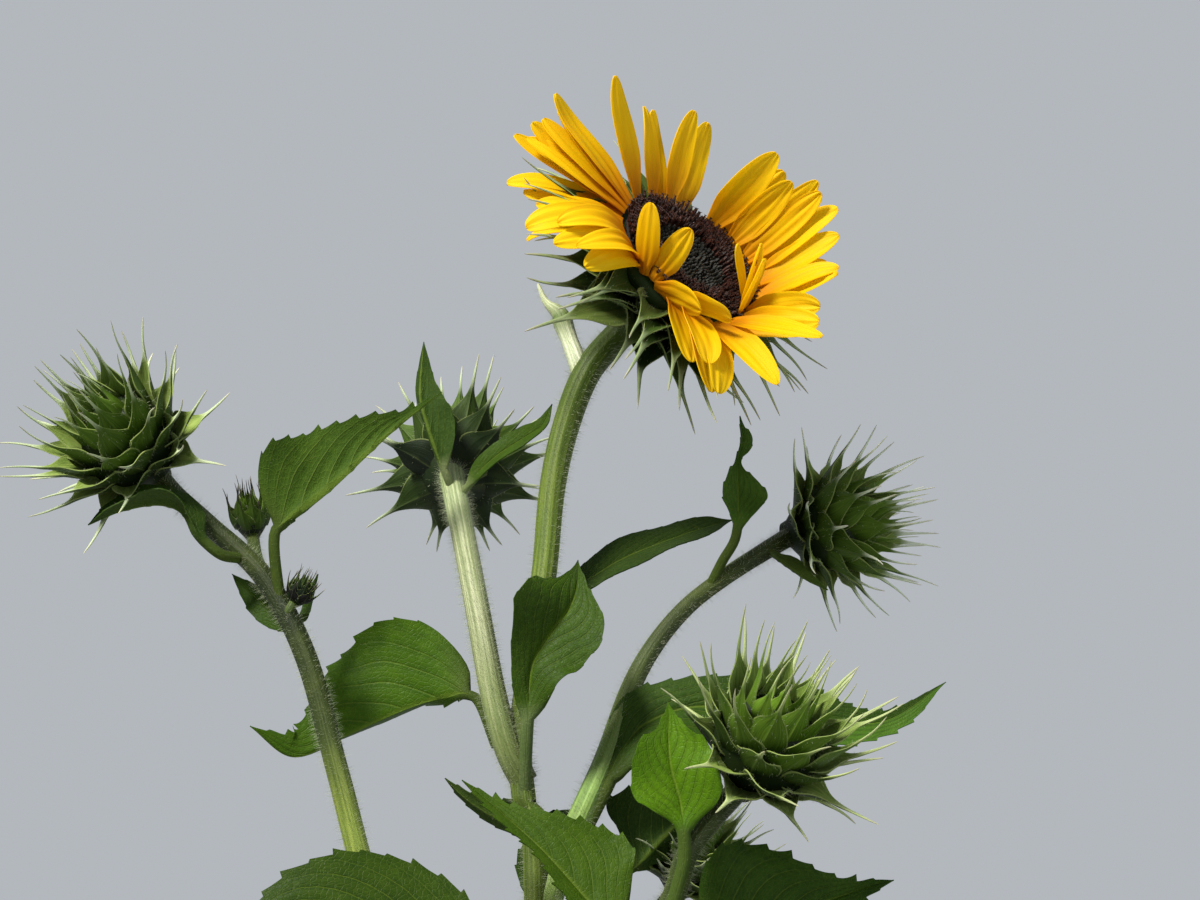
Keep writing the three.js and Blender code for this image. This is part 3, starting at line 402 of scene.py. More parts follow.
def add_leaf(piece, spec, settings, seed):
    """A leaf: a round stalk, then a toothed, folded and waved blade with sunken veins."""
    curve = Curve(spec["points"])
    stalk, stem, left = spec["stalk"], spec["stem"], spec["left"]
    right, fold, curl = spec.get("right", left), spec["fold"], spec.get("curl", 0)
    teeth = max(5, round(curve.length * (1 - stalk) / settings.tooth_pitch))
    stalk_spot = np.linspace(0, stalk, STALK_RINGS, endpoint=False)
    spot = np.concatenate([stalk_spot, np.linspace(stalk, 1, RINGS_PER_TOOTH * teeth)])
    u = np.clip((spot - stalk) / (1 - stalk), 0, 1)[:, None]
    opened = ease(u / OPEN_FROM_STALK)
    at, forward = curve.at(spot), curve.forward(spot)
    face = along(spec["faces"], spot)
    face = unit(face - forward * np.sum(face * forward, -1, keepdims=True))
    side = np.cross(forward, face)

    ring = np.linspace(0, 1, HALF_COLUMNS)[None] ** 1.3
    left_half = half_blade(left, fold[0], curl, stem, u, ring)
    right_half = half_blade(right, fold[1], curl, stem, u, ring)
    half, slope, across, lift = (np.hstack([a[:, :0:-1], b]) for a, b in zip(left_half, right_half))
    v = np.hstack([-ring[:, :0:-1], ring])
    away, sign = np.abs(v), np.sign(v)
    tilt = -sign * slope
    tilt[:, ring.size - 1:ring.size] = 0.5 * math.radians(fold[0] - fold[1]) * opened
    normal = face[:, None] * np.cos(tilt)[..., None] + side[:, None] * np.sin(tilt)[..., None]

    broad = max(*left, *right)
    depth = settings.tooth_depth * spec.get("toothed", 1) * min(broad / 26, 1.3)
    tooth = margin_teeth(u, v, teeth, depth, settings.tooth_sharpness, seed)
    phase = settings.veins * (u - settings.vein_lean * away**VEIN_CURVE)
    pillow = np.abs(np.sin(math.pi * phase)) ** 0.8 - 0.5
    raised = np.minimum(half / 24, 1) * opened * (1 - away**6) * ease(away / 0.12)
    relief = settings.pucker * pillow * raised
    swing = np.sin(2 * math.pi * (MARGIN_WAVES * u + wobble(seed) + 0.3 * (v < 0)))
    wave = settings.wave * half * swing * away**2.5 * opened
    across = sign * (across + tooth * np.cos(slope))
    lift = lift + tooth * np.sin(slope) + relief + wave
    middle = at[:, None] + side[:, None] * across[..., None] + face[:, None] * lift[..., None]
    middle = middle + forward[:, None] * (0.7 * tooth)[..., None]

    round_part = stem * np.sqrt(np.maximum(1 - v**2, 0)) * (1 - opened)
    rib_width = 0.9 + 1.5 * (1 - u)
    rib = stem * 1.15 * (1 - u) ** 0.9 * np.exp(-((v * half / rib_width) ** 2)) * opened
    crest = np.exp(-((((phase + 0.5) % 1 - 0.5) / 0.1) ** 2))
    nerve = 0.45 * crest * opened * (1 - away) ** 0.5 * np.minimum(half / 14, 1)
    thin = 0.5 * settings.leaf_thickness * opened
    over = round_part + thin - 0.2 * rib
    under = round_part + thin + rib + nerve
    hairy = 0.04 + 0.5 * away**9 + 0.8 * np.exp(-((v * half / 1.5) ** 2)) + 0.8 * (1 - opened)
    tints = leaf_tints(spec, u, v, pillow)
    piece.sheet(middle, normal, over, under, spots_of(u, v, seed), tints, hairy, (0, 1))


# Heads

class Head:
    """The axes of a flower head: two along its face and one out of it."""

    def __init__(self, centre, facing):
        self.centre = centre
        self.out = aim(*facing)
        self.right = unit(np.cross(self.out, aim(0, 0, 1)))
        self.far = np.cross(self.out, self.right)

    def outward(self, turn):
        turn = np.radians(turn)[..., None]
        return np.cos(turn) * self.right + np.sin(turn) * self.far

    def point(self, radius, turn, height):
        given = (np.asarray(x, float) for x in (radius, turn, height))
        radius, turn, height = np.broadcast_arrays(*given)
        return self.centre + radius[..., None] * self.outward(turn) + height[..., None] * self.out

    def matrix(self):
        columns = np.stack([self.right, self.far, self.out, self.centre * METRES], 1)
        return Matrix([*columns.tolist(), [0, 0, 0, 1]])


def add_turned(piece, head, profile, sides, tint):
    """A body turned round a head's axis from its profile of [radius, height] corners."""
    profile = np.array(profile, float)
    turn = 360 * np.arange(sides)[None] / sides
    grid = head.point(profile[:, :1], turn, profile[:, 1:])
    spots = spots_of(np.linspace(0, 1, len(profile))[:, None], turn / 360, 0.5)
    piece.tube(grid, spots, np.array(tint), 0.15)


def blade_grid(head, blade, width, bend, shares, columns):
    """The middle of a blade that leaves a head: its slope goes from one to another as bend says."""
    curl = blade["curl"] * ease((shares - 0.55) / 0.45) ** 1.5
    slope = np.radians(mix(blade["slope_from"], blade["slope_to"], bend) + curl)[:, None]
    heading = blade["turn"] + blade["swing"] * shares**2
    outward, sideways = head.outward(heading), head.outward(heading + 90)
    ahead = np.cos(slope) * outward + np.sin(slope) * head.out
    normal = -np.sin(slope) * outward + np.cos(slope) * head.out
    lean = math.radians(blade.get("lean", 0))
    ahead, side = (
        math.cos(lean) * ahead + math.sin(lean) * sideways,
        math.cos(lean) * sideways - math.sin(lean) * ahead,
    )
    steps = blade["length"] * np.diff(shares)[:, None] * 0.5 * (ahead[1:] + ahead[:-1])
    foot = head.point(blade["radius"], blade["turn"], blade["height"])
    at = foot + np.vstack([np.zeros(3), np.cumsum(steps, axis=0)])
    roll = np.radians(blade["roll"] * shares + blade.get("twist", 0) * ease(shares / 0.12))[:, None]
    side, normal = (
        np.cos(roll) * side + np.sin(roll) * normal,
        np.cos(roll) * normal - np.sin(roll) * side,
    )
    u, v = shares[:, None], np.linspace(-1, 1, columns)[None]
    half = blade["half"] * width(u)
    cup = mix(blade["cup"], blade["cup_to"], u)
    lift = cup * half * v**2 + blade["relief"](u, v)
    middle = at[:, None] + side[:, None] * (half * v)[..., None] + normal[:, None] * lift[..., None]
    facing = unit(normal[:, None] - side[:, None] * (2 * cup * v)[..., None])
    return u, v, half, middle, facing


def bract_width(u):
    """Broad with round shoulders, then drawn in to a long needle."""
    body = (1 - 0.3 * (1 - ease(u / 0.2))) * np.exp(-((np.maximum(u - 0.1, 0) / 0.34) ** 3))
    return 0.88 * body + 0.11 * (1 - u) ** 0.5 + 0.008


def bract_tints(blade, colours, u, v, tip, seed):
    """Tints of a bract's inner and outer face: painted shade that darkens the outer face towards its
    foot, and pale along its needle.
    """
    green = mix(np.array(colours.bract_dark), np.array(colours.bract_green), blade["tone"])
    green = np.maximum(green, LEAST_GREEN)
    # Painted shade: the outer face grows darker towards its foot.
    foot = ease((0.34 - u) / 0.3) * np.ones_like(v)
    outside = mix(green, green * 0.35, blade["shade"] * foot[..., None])
    inner = min(blade["inner"] + 0.25 * wobble(seed), 1)
    inside = np.broadcast_to(mix(np.array(colours.bract_inside), green, inner), outside.shape)
    last = 0.5 * ease((u - 0.8) / 0.2)[..., None]
    end = mix(np.array(paint(blade["needle"])), np.array(colours.needle_end), last)
    outside = mix(outside, end, (0.92 * ease((u - NEEDLE_FROM) / 0.34) * tip)[..., None])
    return mix(inside, end, tip[..., None]), outside


def add_bract(piece, head, blade, colours, seed):
    """A bract: a broad boat-shaped body that runs out into a stiff pale needle."""
    def relief(u, v):
        ribs = -0.035 * np.cos(4 * math.pi * v) * (1 - v**2)
        ruffle = 0.13 * np.sin(14 * u + 3 * seed) * v**3
        return blade["half"] * (ribs + ruffle) * np.exp(-(((u - 0.26) / 0.22) ** 2))

    shaped = {**blade, "relief": relief}
    rings, columns = BRACT_GRID
    shares = np.linspace(0, 1, rings)
    bend = 0.75 * ease(shares / 0.6) + 0.12 * shares
    u, v, half, middle, facing = blade_grid(head, shaped, bract_width, bend, shares, columns)
    tip = ease((u - NEEDLE_FROM) / 0.16) * np.ones_like(v)
    flat = 0.5 * blade["thick"] * mix(1, 0.45, ease(u / 0.5))
    needle = 0.65 * half * np.sqrt(1 - v**2) + 0.04
    thick = mix(flat, needle, tip)
    keel = 0.5 * blade["thick"] * np.exp(-((v / 0.16) ** 2)) * (1 - tip)
    tints = bract_tints(blade, colours, u, v, tip, seed)
    margin = ease((np.abs(v) - 0.66) / 0.3)
    fringe = 0.03 + 1.2 * margin * (1 - 0.7 * tip) + 0.25 * np.exp(-((v / 0.2) ** 2)) * (1 - tip)
    piece.sheet(middle, facing, thick, thick + keel, spots_of(u, v, seed), tints, fringe)


def ray_width(u, roundness):
    """Narrow at the foot, strap shaped, and more or less rounded at the tip."""
    foot = 0.42 + 0.58 * ease(u / 0.4)
    return foot * np.sqrt(1 - (0.992 * np.clip((u - 0.45) / 0.55, 0, 1)) ** roundness)


def add_ray(piece, head, blade, colours, seed):
    """A ray: a thin strap with lengthwise furrows, warmer at its foot and paler at its tip."""
    deep = 0.32 + 0.12 * wobble(seed + 0.11)
    shift = 0.25 * wobble(seed + 0.23)
    roundness = 2.5 + 0.9 * wobble(seed + 0.37)

    def relief(u, v):
        furrow = np.cos(2 * math.pi * (1.5 * v + shift)) + 0.3 * np.cos(2 * math.pi * 2.5 * v)
        ripple = 0.3 * np.sin(9 * u + 6 * v + 3 * wobble(seed)) * u
        return (ripple - deep * furrow) * (1 - v**4) * ease(u / 0.2)

    def width(u):
        return ray_width(u, roundness)

    shaped = {**blade, "relief": relief}
    rings, columns = RAY_GRID
    shares = 1 - (1 - np.linspace(0, 1, rings)) ** 1.35
    u, v, _, middle, facing = blade_grid(head, shaped, width, shares, shares, columns)
    thick = 0.5 * RAY_THICKNESS * mix(1.6, 1, ease(u / 0.3)) * np.ones_like(v)
    glow = ease(u / blade["blush"]) * np.ones_like(v)
    tint = mix(np.array(colours.ray_foot), np.array(colours.ray_yellow), glow[..., None])
    tip = ease((u - 0.5) / 0.5) * np.ones_like(v)
    tint = mix(tint, np.array(colours.ray_tip), 0.7 * tip[..., None])
    below = tint * np.array([0.97, 0.93, 0.9])
    piece.sheet(middle, facing, thick, thick, spots_of(u, v, seed), (tint, below))


# What grows where, in millimetres and degrees

BLOOM = Head(place(41.5, 92.5, -40), (0.59, 0.62, 0.515))

NEEDLE = "ced6b6"
# Bracts whose needles would pass through a leaf are left out by their keys.
BUDS = {
    "bud_left": dict(
        centre=place(-237, 5, -44), facing=(-0.5, 0.62, 0.6), size=28, neck=0.2, seed=11, left_out=[16]
    ),
    "bud_centre": dict(
        centre=place(-71, -8, 48), facing=(0.03, 0.4, -0.92), size=26, neck=0.24, seed=47, left_out=[52]
    ),
    "bud_right": dict(
        centre=place(118, -38, 44), facing=(0.92, 0.16, 0.35), size=26.5, neck=0.22, seed=83,
        # Painted light: this bud's needles are paler than the others' so that they look lit.
        tone=0.2, needle="eef2e2",
    ),
    # This bud pushes its rows' tones further apart: stronger painted light on top, deeper painted shade
    # below.
    "bud_front": dict(
        centre=place(84, -146, -62), facing=(0.42, 0.8, 0.42), size=29, neck=0.22, seed=129,
        tone=-0.1, painted_light_contrast=1.6, needle="c6ce96", left_out=[133],
    ),
    "bud_hidden": dict(
        centre=place(46, -204, 58), facing=(0.35, 0.8, 0.3), size=21, neck=0.24, seed=171
    ),
    "bud_small": dict(
        centre=place(-175, -33, -16), facing=(-0.1, 0.95, 0.2), size=10.5, neck=0.32, seed=203,
        needle="3a2430", tone=0.5,
    ),
    "bud_tiny": dict(
        centre=place(-150, -71, -40), facing=(0.45, 0.8, 0.2), size=7, neck=0.32, seed=241,
        needle="33202a", tone=-0.7,
    ),
}


def bloom_back(depth):
    return BLOOM.point(0, 0, -depth)


def bud_neck(name, depth=0.8):
    spec = BUDS[name]
    return Head(spec["centre"], spec["facing"]).point(0, 0, -depth * spec["size"])


# Each stem's tints run from its foot to its end. Besides the stem's own green they hold painted light
# and shade: lighter stretches stand for light falling on the stem, darker ones down to near black for
# shade.
STEMS = {
    "stem_main": dict(
        ground=[(0, 0, 0), (0, 0, 90), (4, 3, 330), (-5, -2, 640), (3, 2, 960)],
        path=[
            (-32, -225, 0), (-38, -175, 0), (-40, -145, 0), (-34, -100, 0), (-28, -62, 0),
            (-24, -20, 0), (-17, 12, -2), (-6, 40, -7),
        ],
        ends=[bloom_back(RECEPTACLE_DEPTH + 16), bloom_back(RECEPTACLE_DEPTH - 9)],
        radii=[16, 13, 12, 11.2, 10.2, 8.2, 7.4, 7, 6.2, 5.8, 5.7, 5.7, 5.8, 6.4, 7.6],
        tints=[
            "485123", "4f5a26", "4f5a26", "4e5926", "4d5825", "4f5925",
            "505a25", "4f5925", "4c5822", "4d5c20", "5f7028", "2d3d12",
        ],
        hairy=[0, 0.12, 0.15, 0.2, 0.3, 0.8, 1, 1, 1, 1],
        sides=44,
    ),
    "stem_left": dict(
        path=[
            (-40, -370, 0), (-62, -325, -8), (-92, -272, -18), (-114, -225, -26),
            (-131, -162, -32), (-147, -104, -36), (-168, -64, -36), (-195, -38, -34),
            (-213, -22, -34),
        ],
        ends=[bud_neck("bud_left")],
        radii=[7.6, 6.8, 6.2, 5.6, 5.4, 5.2, 5.2, 5, 4.7, 5],
        tints=["6c7832", "8b9a38", "9cae4a", "8a9845", "38441d", "1f280f", "252f12", "35421a"],
    ),
    "stem_centre": dict(
        path=[
            (-38, -166, 0), (-46, -150, -3), (-53, -124, -6), (-61, -82, -4), (-69, -40, 6),
            (-74, -14, 20),
        ],
        ends=[bud_neck("bud_centre")],
        radii=[6.6, 6.4, 6.1, 5.9, 5.8, 6, 6.2],
        tints=["4b5724", "858e63", "999d7b", "9da180", "9ca080", "98a17c", "8b966a"],
        hairy=[1.3],
    ),
    "stem_right": dict(
        path=[
            (-33, -262, 0), (-26, -222, 4), (-8, -181, 12), (3, -155, 18), (15, -120, 26),
            (27, -98, 30), (43, -79, 34), (62, -64, 38), (82, -51, 41),
        ],
        ends=[bud_neck("bud_right")],
        radii=[8, 7.8, 7, 6.3, 5.4, 4.8, 4.4, 4.2, 4.4, 5],
        tints=["66763a", "7b9050", "809c56", "4f5e2e", "363f1c", "2f3916", "2d3615"],
    ),
    "stem_front": dict(
        path=[(-34, -322, 0), (-8, -292, -18), (18, -258, -38), (36, -225, -50), (46, -197, -56)],
        ends=[bud_neck("bud_front")],
        radii=[6.6, 6.2, 5.8, 5.3, 5.1, 5.4],
        tints=["4a5424", "445026", "39441f", "333e1a"],
    ),
    "stem_hidden": dict(
        path=[(-33, -305, 0), (-8, -272, 18), (22, -240, 46)],
        ends=[bud_neck("bud_hidden")],
        radii=[5, 4.6, 4.3, 4.3],
        tints=["545e29", "4f5c2e", "424e24"],
    ),
    "stalk_small": dict(
        path=[(-166, -66, -32), (-172, -54, -22)],
        ends=[bud_neck("bud_small", 0.7)],
        radii=[3.6, 3.2, 3],
        tints=["41501f", "475525"],
        sides=20,
    ),
    "stalk_tiny": dict(
        path=[(-158, -84, -38), (-155, -79, -40)],
        ends=[bud_neck("bud_tiny", 0.7)],
        radii=[2.6, 2.3, 2.1],
        tints=["41501f", "475525"],
        sides=20,
    ),
    "stub_dry": dict(
        path=[
            (-8, 34, -6), (-12, 46, -7), (-18, 62, -8), (-20, 68, -8), (-27, 74, -8),
            (-31, 83, -8),
        ],
        radii=[5.4, 4.6, 4.2, 5.2, 1.9, 0.7],
        tints=["a3ab70", "d3d6c0", "d3d6bc", "4d6128", "c4c7a8", "cdcdb4"],
        sides=24,
    ),
}

FRONT = (0, 0, 1)
LEAVES = {
    "leaf_left_top": dict(
        path=[
            (-160, -76, -38), (-163, -46, -46), (-158, -36, -47), (-134, -17, -46),
            (-104, 10, -40), (-79, 29, -36),
        ],
        faces=[(0.3, 0.3, -1), (0.2, 0.3, -1)],
        left=[3, 3, 6, 10, 13, 14, 12, 9, 5, 2, 0],
        right=[3, 26, 33.5, 30, 25.5, 21.5, 16, 10, 3.5, 1.2, 0],
        stalk=0.24, fold=(105, 4), curl=-6, stem=2.6,
        bright="446013", dark="28440e", below="445c18",
    ),
    "leaf_left_middle": dict(
        path=[
            (-52, -148, -3), (-60, -127, -2), (-66, -122.5, 0), (-76, -123, 3), (-100, -131, 6),
            (-129, -144, 8), (-154, -153.5, 8), (-175, -138, 4),
        ],
        faces=[(0, 0.35, 0.95), (-0.2, 0.3, 1), (-0.2, 0.1, 1)],
        left=[2, 4, 9, 14, 16, 15, 12, 9, 6, 3, 0],
        right=[3, 34, 43, 45, 39, 34, 23, 14, 12, 6, 0],
        stalk=0.2, fold=(-100, 4), curl=-4, stem=2.4,
        bright="466609", dark="2b4b08", below="55682f",
    ),
    "leaf_centre": dict(
        path=[
            (-38, -176, -1), (-37, -150, -10), (-36, -132, -15), (-34, -108, -18), (-25, -92, -18),
            (-16, -80, -17), (-12, -70, -15), (-11, -55, -13),
        ],
        faces=[FRONT],
        left=[3, 6, 9, 11.5, 18.5, 26.5, 28, 25.5, 16, 6, 0],
        right=[3, 9, 14, 20, 22.5, 23, 23.5, 18.5, 8, 3.3, 0],
        stalk=0.3, fold=(30, 24), curl=-4, stem=3, toothed=0.3,
        bright="3b560d", dark="263c12", stalk_tint="68784a",
    ),
    "leaf_behind_centre": dict(
        path=[(-26, -78, 3), (-16, -72, 16), (10, -55, 30), (40, -43, 46), (66, -35, 52)],
        faces=[(0, 0.9, 0.5)],
        left=[2, 7, 9.5, 11, 12, 12, 11.5, 10.5, 9.5, 6.5, 0],
        stalk=0.14, fold=(12, 12), stem=2.2, toothed=0.5,
        bright="2a400d", dark="1a2c0c",
    ),
    "leaf_right_top": dict(
        path=[
            (54, -70, 36), (61, -56, 31), (68, -43, 27), (69, -24, 24), (69, -7, 22),
            (71.5, 4, 22), (70, 17, 24),
        ],
        faces=[FRONT, FRONT, (0.5, 0, 0.6)],
        left=[1.2, 2.6, 5.3, 8.3, 7.7, 4.9, 1.1, 1.5, 1.4, 0.8, 0],
        right=[1.2, 4.6, 10.8, 15, 11.3, 4.6, 0.9, 3.7, 5.1, 1.6, 0],
        stalk=0.33, fold=(20, 14), stem=2.4,
        bright="4a6a1e", dark="304f18",
    ),
    "leaf_behind_front": dict(
        path=[
            (-7, -190, 10), (4, -168, 12), (12, -150, 14), (24, -136, 16), (50, -128, 18),
            (95, -133, 20), (140, -136, 20), (173, -116, 18),
        ],
        faces=[(-0.5, 0.6, 0.6), (-0.2, 0.5, 0.9), (0, 0.4, 1)],
        left=[2, 8, 18, 15.5, 16, 17, 15, 10, 5.5, 2.5, 0],
        right=[3, 14, 22, 23, 20, 16, 15, 13, 8, 5, 0],
        # This leaf's brighter half towards its tip is painted sunlight.
        stalk=0.11, fold=(10, 14), curl=-4, stem=3, painted_sunlight=2.2,
        bright="355012", dark="1e3510",
    ),
    "leaf_front": dict(
        path=[
            (36, -228, -58), (42, -206, -62), (42, -193, -65), (40, -175, -67), (35, -155, -69),
            (34, -126, -70),
        ],
        faces=[FRONT],
        left=[3, 5.2, 13.4, 19, 20.6, 19, 16.5, 13, 5.2, 2, 0],
        right=[3, 7.5, 18, 21.8, 22.3, 21.8, 20.2, 16, 8, 3.7, 0],
        stalk=0.34, fold=(14, 20), curl=4, stem=3, toothed=0.6,
        bright="577e07", dark="3b5e07", stalk_tint="4f6328",
    ),
    "leaf_low_front": dict(
        path=[
            (-22, -300, -10), (6, -272, -38), (8, -243, -46), (-9, -222, -46), (-28, -201, -45),
            (-43, -187, -43), (-56, -176, -41), (-69, -165, -40),
        ],
        faces=[(0.2, 0.6, 0.9)],
        left=[3, 6, 9, 9, 7, 5, 5, 5, 3.5, 2, 0],
        right=[3, 18, 30, 33, 29, 22, 15, 8.5, 4.2, 2, 0],
        stalk=0.41, fold=(26, 8), stem=3,
        bright="425d0a", dark="2a4908",
    ),
    "leaf_behind_stem": dict(
        path=[
            (-30, -218, 4), (-27, -202, 16), (-38, -190, 22), (-56, -181, 22), (-68, -173, 20),
            (-77.5, -164, 18),
        ],
        faces=[(0.1, 0.5, -0.85)],
        left=[2, 8, 12, 14, 14, 10, 6.5, 4.5, 3, 1.5, 0],
        right=[2, 5, 7, 8.5, 9, 8, 6.5, 5, 3.5, 1.6, 0],
        stalk=0.26, fold=(10, 20), stem=2.2,
        bright="354d14", dark="20380f",
    ),
    "leaf_behind_fork": dict(
        path=[(-33, -240, 4), (-27, -214, 20), (-22, -191, 22), (-13, -185, 24), (-4, -190, 26)],
        faces=[(0, 0.7, 0.6)],
        left=[2, 8, 12, 14.5, 15, 14, 12, 9, 6, 3, 0],
        stalk=0.2, fold=(10, 10), stem=2.2,
        bright="2f4a0f", dark="1d330d",
    ),
    "leaf_low_left": dict(
        path=[
            (-36, -322, -8), (-62, -278, -30), (-100, -240, -44), (-145, -232, -52),
            (-186, -250, -54),
        ],
        faces=[(0, 0.7, 0.7), (0, 0.6, 0.8)],
        left=[3, 14, 25, 33, 36, 35, 31, 25, 17, 9, 0],
        right=[3, 14, 24, 31, 33, 32, 29, 24, 17, 9, 0],
        stalk=0.24, fold=(20, 10), curl=-4, stem=3.4,
        bright="354c0a", dark="203a08",
    ),
    "leaf_low_right": dict(
        path=[
            (-26, -330, -6), (24, -290, -20), (56, -252, -28), (84, -236, -30), (112, -226, -30),
            (131, -219.5, -30), (147, -215, -30),
        ],
        faces=[(0.1, 0.6, 0.8), (0.1, 0.5, 0.9)],
        left=[6, 28, 38, 39, 35, 27, 18, 10, 4.5, 2.5, 0],
        right=[6, 22, 32, 36, 33, 26, 18, 11, 6, 3, 0],
        stalk=0.54, fold=(16, 20), curl=-4, stem=3.4,
        bright="385612", dark="213c0e",
    ),
    "leaf_right_under": dict(
        path=[
            (-16, -232, 8), (4, -216, 26), (17, -208, 32), (28, -197, 34), (40, -184, 34),
            (48, -168, 32),
        ],
        faces=[(-0.1, 0.2, -1), (-0.1, 0.3, -1)],
        left=[3, 5, 7, 9, 10, 10, 9, 8, 6, 3, 0],
        right=[8, 18, 27, 31, 30, 28, 24, 19, 12, 6, 0],
        stalk=0.48, fold=(14, 12), stem=2.6,
        bright="314c11", dark="20380f", below="32471b",
    ),
    "leaf_bud_upper": dict(
        path=[(-73, -22, 15), (-77, -12, 7), (-81, -1, 4), (-86, 13, 2), (-89.5, 28, 3), (-88, 54, 6)],
        faces=[(0.5, 0.1, -1), (0.3, 0.1, -1)],
        left=[2, 6.6, 10.5, 12.6, 13, 12, 10, 6.6, 4.4, 2.2, 0],
        right=[2, 2.4, 2.6, 2.8, 3, 3.4, 3.8, 3.6, 2.6, 1.5, 0],
        stalk=0.15, fold=(20, 26), stem=2, toothed=0.35,
        bright="314a11", dark="20380d", below="334a16", stalk_tint="8c9668",
    ),
    "leaf_bud_lower": dict(
        path=[
            (-72, -26, 15), (-66, -18, 8), (-60.5, -10.5, 4), (-50, -1.5, 2), (-37.5, 6.5, 1),
            (-29, 12.5, 2), (-24, 23, 2),
        ],
        faces=[(-0.2, 0.6, 0.7)],
        left=[1.5, 3.5, 5, 5.8, 6.2, 6.2, 5.8, 5, 3.8, 2, 0],
        stalk=0.14, fold=(20, 20), stem=1.8, toothed=0.4,
        bright="3f590f", dark="2a460d", stalk_tint="8c9668",
    ),
    "leaf_under_bud": dict(
        path=[
            (-181, -54, -38), (-190, -52, -44), (-200, -43, -47), (-208, -30, -48),
            (-221, -26, -49), (-240, -30, -50), (-256, -37.5, -51),
        ],
        faces=[(0.6, 0.5, 0.2), (0.1, 1, 0.1), (0, 1, 0.1)],
        left=[2.6, 4, 6, 8.5, 11, 12, 12, 10.5, 8, 4.5, 0],
        stalk=0.18, fold=(34, 34), stem=2.6,
        bright="324b10", dark="1d320d",
    ),
    "leaf_small_left": dict(
        path=[(-152, -94, -37), (-158, -86, -30), (-172, -74, -24), (-184, -62, -22)],
        faces=[FRONT],
        left=[1.6, 4, 6, 7.2, 7.6, 7.2, 6.4, 5, 3.4, 1.6, 0],
        stalk=0.12, fold=(10, 10), stem=1.8,
        bright="3a5512", dark="263f0f",
    ),
    "leaf_small_right": dict(
        path=[(-156, -86, -35), (-148, -84, -22), (-145, -73, -18), (-141, -62, -18)],
        faces=[(-0.6, 0, 0.8)],
        left=[1.3, 2.4, 3.2, 3.6, 3.6, 3.4, 3, 2.4, 1.6, 0.8, 0],
        stalk=0.12, fold=(10, 10), stem=1.5,
        bright="3a5512", dark="263f0f",
    ),
    "leaf_bud_sheath": dict(
        path=[(84, -50, 41), (90, -54, 34), (103, -64, 30), (114, -70, 30)],
        faces=[(0.3, 0.8, 0.4)],
        left=[1.5, 3.5, 5, 5.8, 6, 5.6, 4.8, 3.8, 2.5, 1.2, 0],
        stalk=0.12, fold=(20, 20), stem=1.8,
        bright="4c5e23", dark="33471a",
    ),
}

LOWER_LEAVES = 9
LOWER_LEAF_FROM = 270
LOWER_LEAF_RISE = 102
LOWER_LEAF_HALF = 68
OVATE = [0.12, 0.62, 0.92, 1, 0.95, 0.84, 0.7, 0.54, 0.36, 0.17, 0]
LOWER_LEAF_PATH = [(0, 0), (44, 36), (96, 58), (160, 44), (210, 2), (244, -58)]
LOWER_LEAF_FACES = [(-0.5, 0.9), (0, 1), (0.6, 0.8), (0.9, 0.4)]


def lower_leaf(number, curve):
    """A lower leaf: its stalk rises from the main stem, then the blade hangs."""
    height = LOWER_LEAF_FROM + LOWER_LEAF_RISE * number + 14 * wobble(number + 0.5)
    shares = np.linspace(0, 1, 2001)
    foot = curve.at(np.interp(height, curve.at(shares)[:, 2], shares))
    turn = math.radians(GOLDEN_ANGLE * number + 20)
    out = np.array([math.cos(turn), math.sin(turn), 0])
    upward = np.array([0, 0, 1])
    size = mix(1.12, 0.86, number / LOWER_LEAVES) * (1 + 0.06 * wobble(number + 0.8))
    return dict(
        points=[foot + size * (away * out + up * upward) for away, up in LOWER_LEAF_PATH],
        faces=[away * out + up * upward for away, up in LOWER_LEAF_FACES],
        left=[share * LOWER_LEAF_HALF * size for share in OVATE], stalk=0.34,
        fold=(16, 16), curl=-14, stem=3.6, bright="3d570f", dark="243f0c",
    )


def table(keys, *rows):
    """Rows of values as a list of dicts; a short row leaves the last keys out."""
    return [dict(zip(keys.split(), row)) for row in rows]


# Rows of bracts from the neck up. In the buds' rows lengths are shares of the bud's radius.
ROW_KEYS = "count radius height slope_from slope_to length half tone"
# A row's tone runs from the dark bract colour to the bright one. In the buds' rows it climbs from the
# dark low rows to the bright top rows: partly the bracts' own colour, paler on the inner rows, and
# partly painted light from above with painted shade below.
BRACT_ROWS = table(
    ROW_KEYS,
    (7, 0.48, -0.7, 22, -6, 1.45, 0.44, 0.1),
    (8, 0.6, -0.52, 34, 18, 1.7, 0.44, 0.3),
    (8, 0.7, -0.3, 48, 38, 1.75, 0.42, 0.5),
    (8, 0.76, -0.08, 62, 54, 1.75, 0.39, 0.7),
    (7, 0.72, 0.1, 76, 68, 1.65, 0.35, 0.85),
    (7, 0.6, 0.28, 90, 80, 1.5, 0.3, 1.05),
    (6, 0.42, 0.4, 96, 86, 1.35, 0.24, 1.3),
    (4, 0.2, 0.48, 94, 88, 1.2, 0.2, 1.5),
)
SMALL_ROWS = table(
    ROW_KEYS,
    (7, 0.74, -0.5, 60, 82, 1.7, 0.5, 0.4),
    (7, 0.8, -0.2, 78, 98, 1.65, 0.44, 0.6),
    (6, 0.66, 0.1, 96, 98, 1.6, 0.36, 0.8),
    (6, 0.4, 0.3, 96, 94, 1.5, 0.28, 0.9),
)
BLOOM_ROWS = table(
    ROW_KEYS,
    (10, 15, -31, -6, -16, 56, 15, 0.25),
    (12, 25, -25, 16, -14, 60, 15, 0.3),
    (13, 32, -20, 28, -14, 60, 13.5, 0.34),
    (14, 37, -14, 34, -16, 56, 12, 0.38),
    (13, 40, -8, 24, -12, 50, 10, 0.42),
)
SMALL_BUD = 12

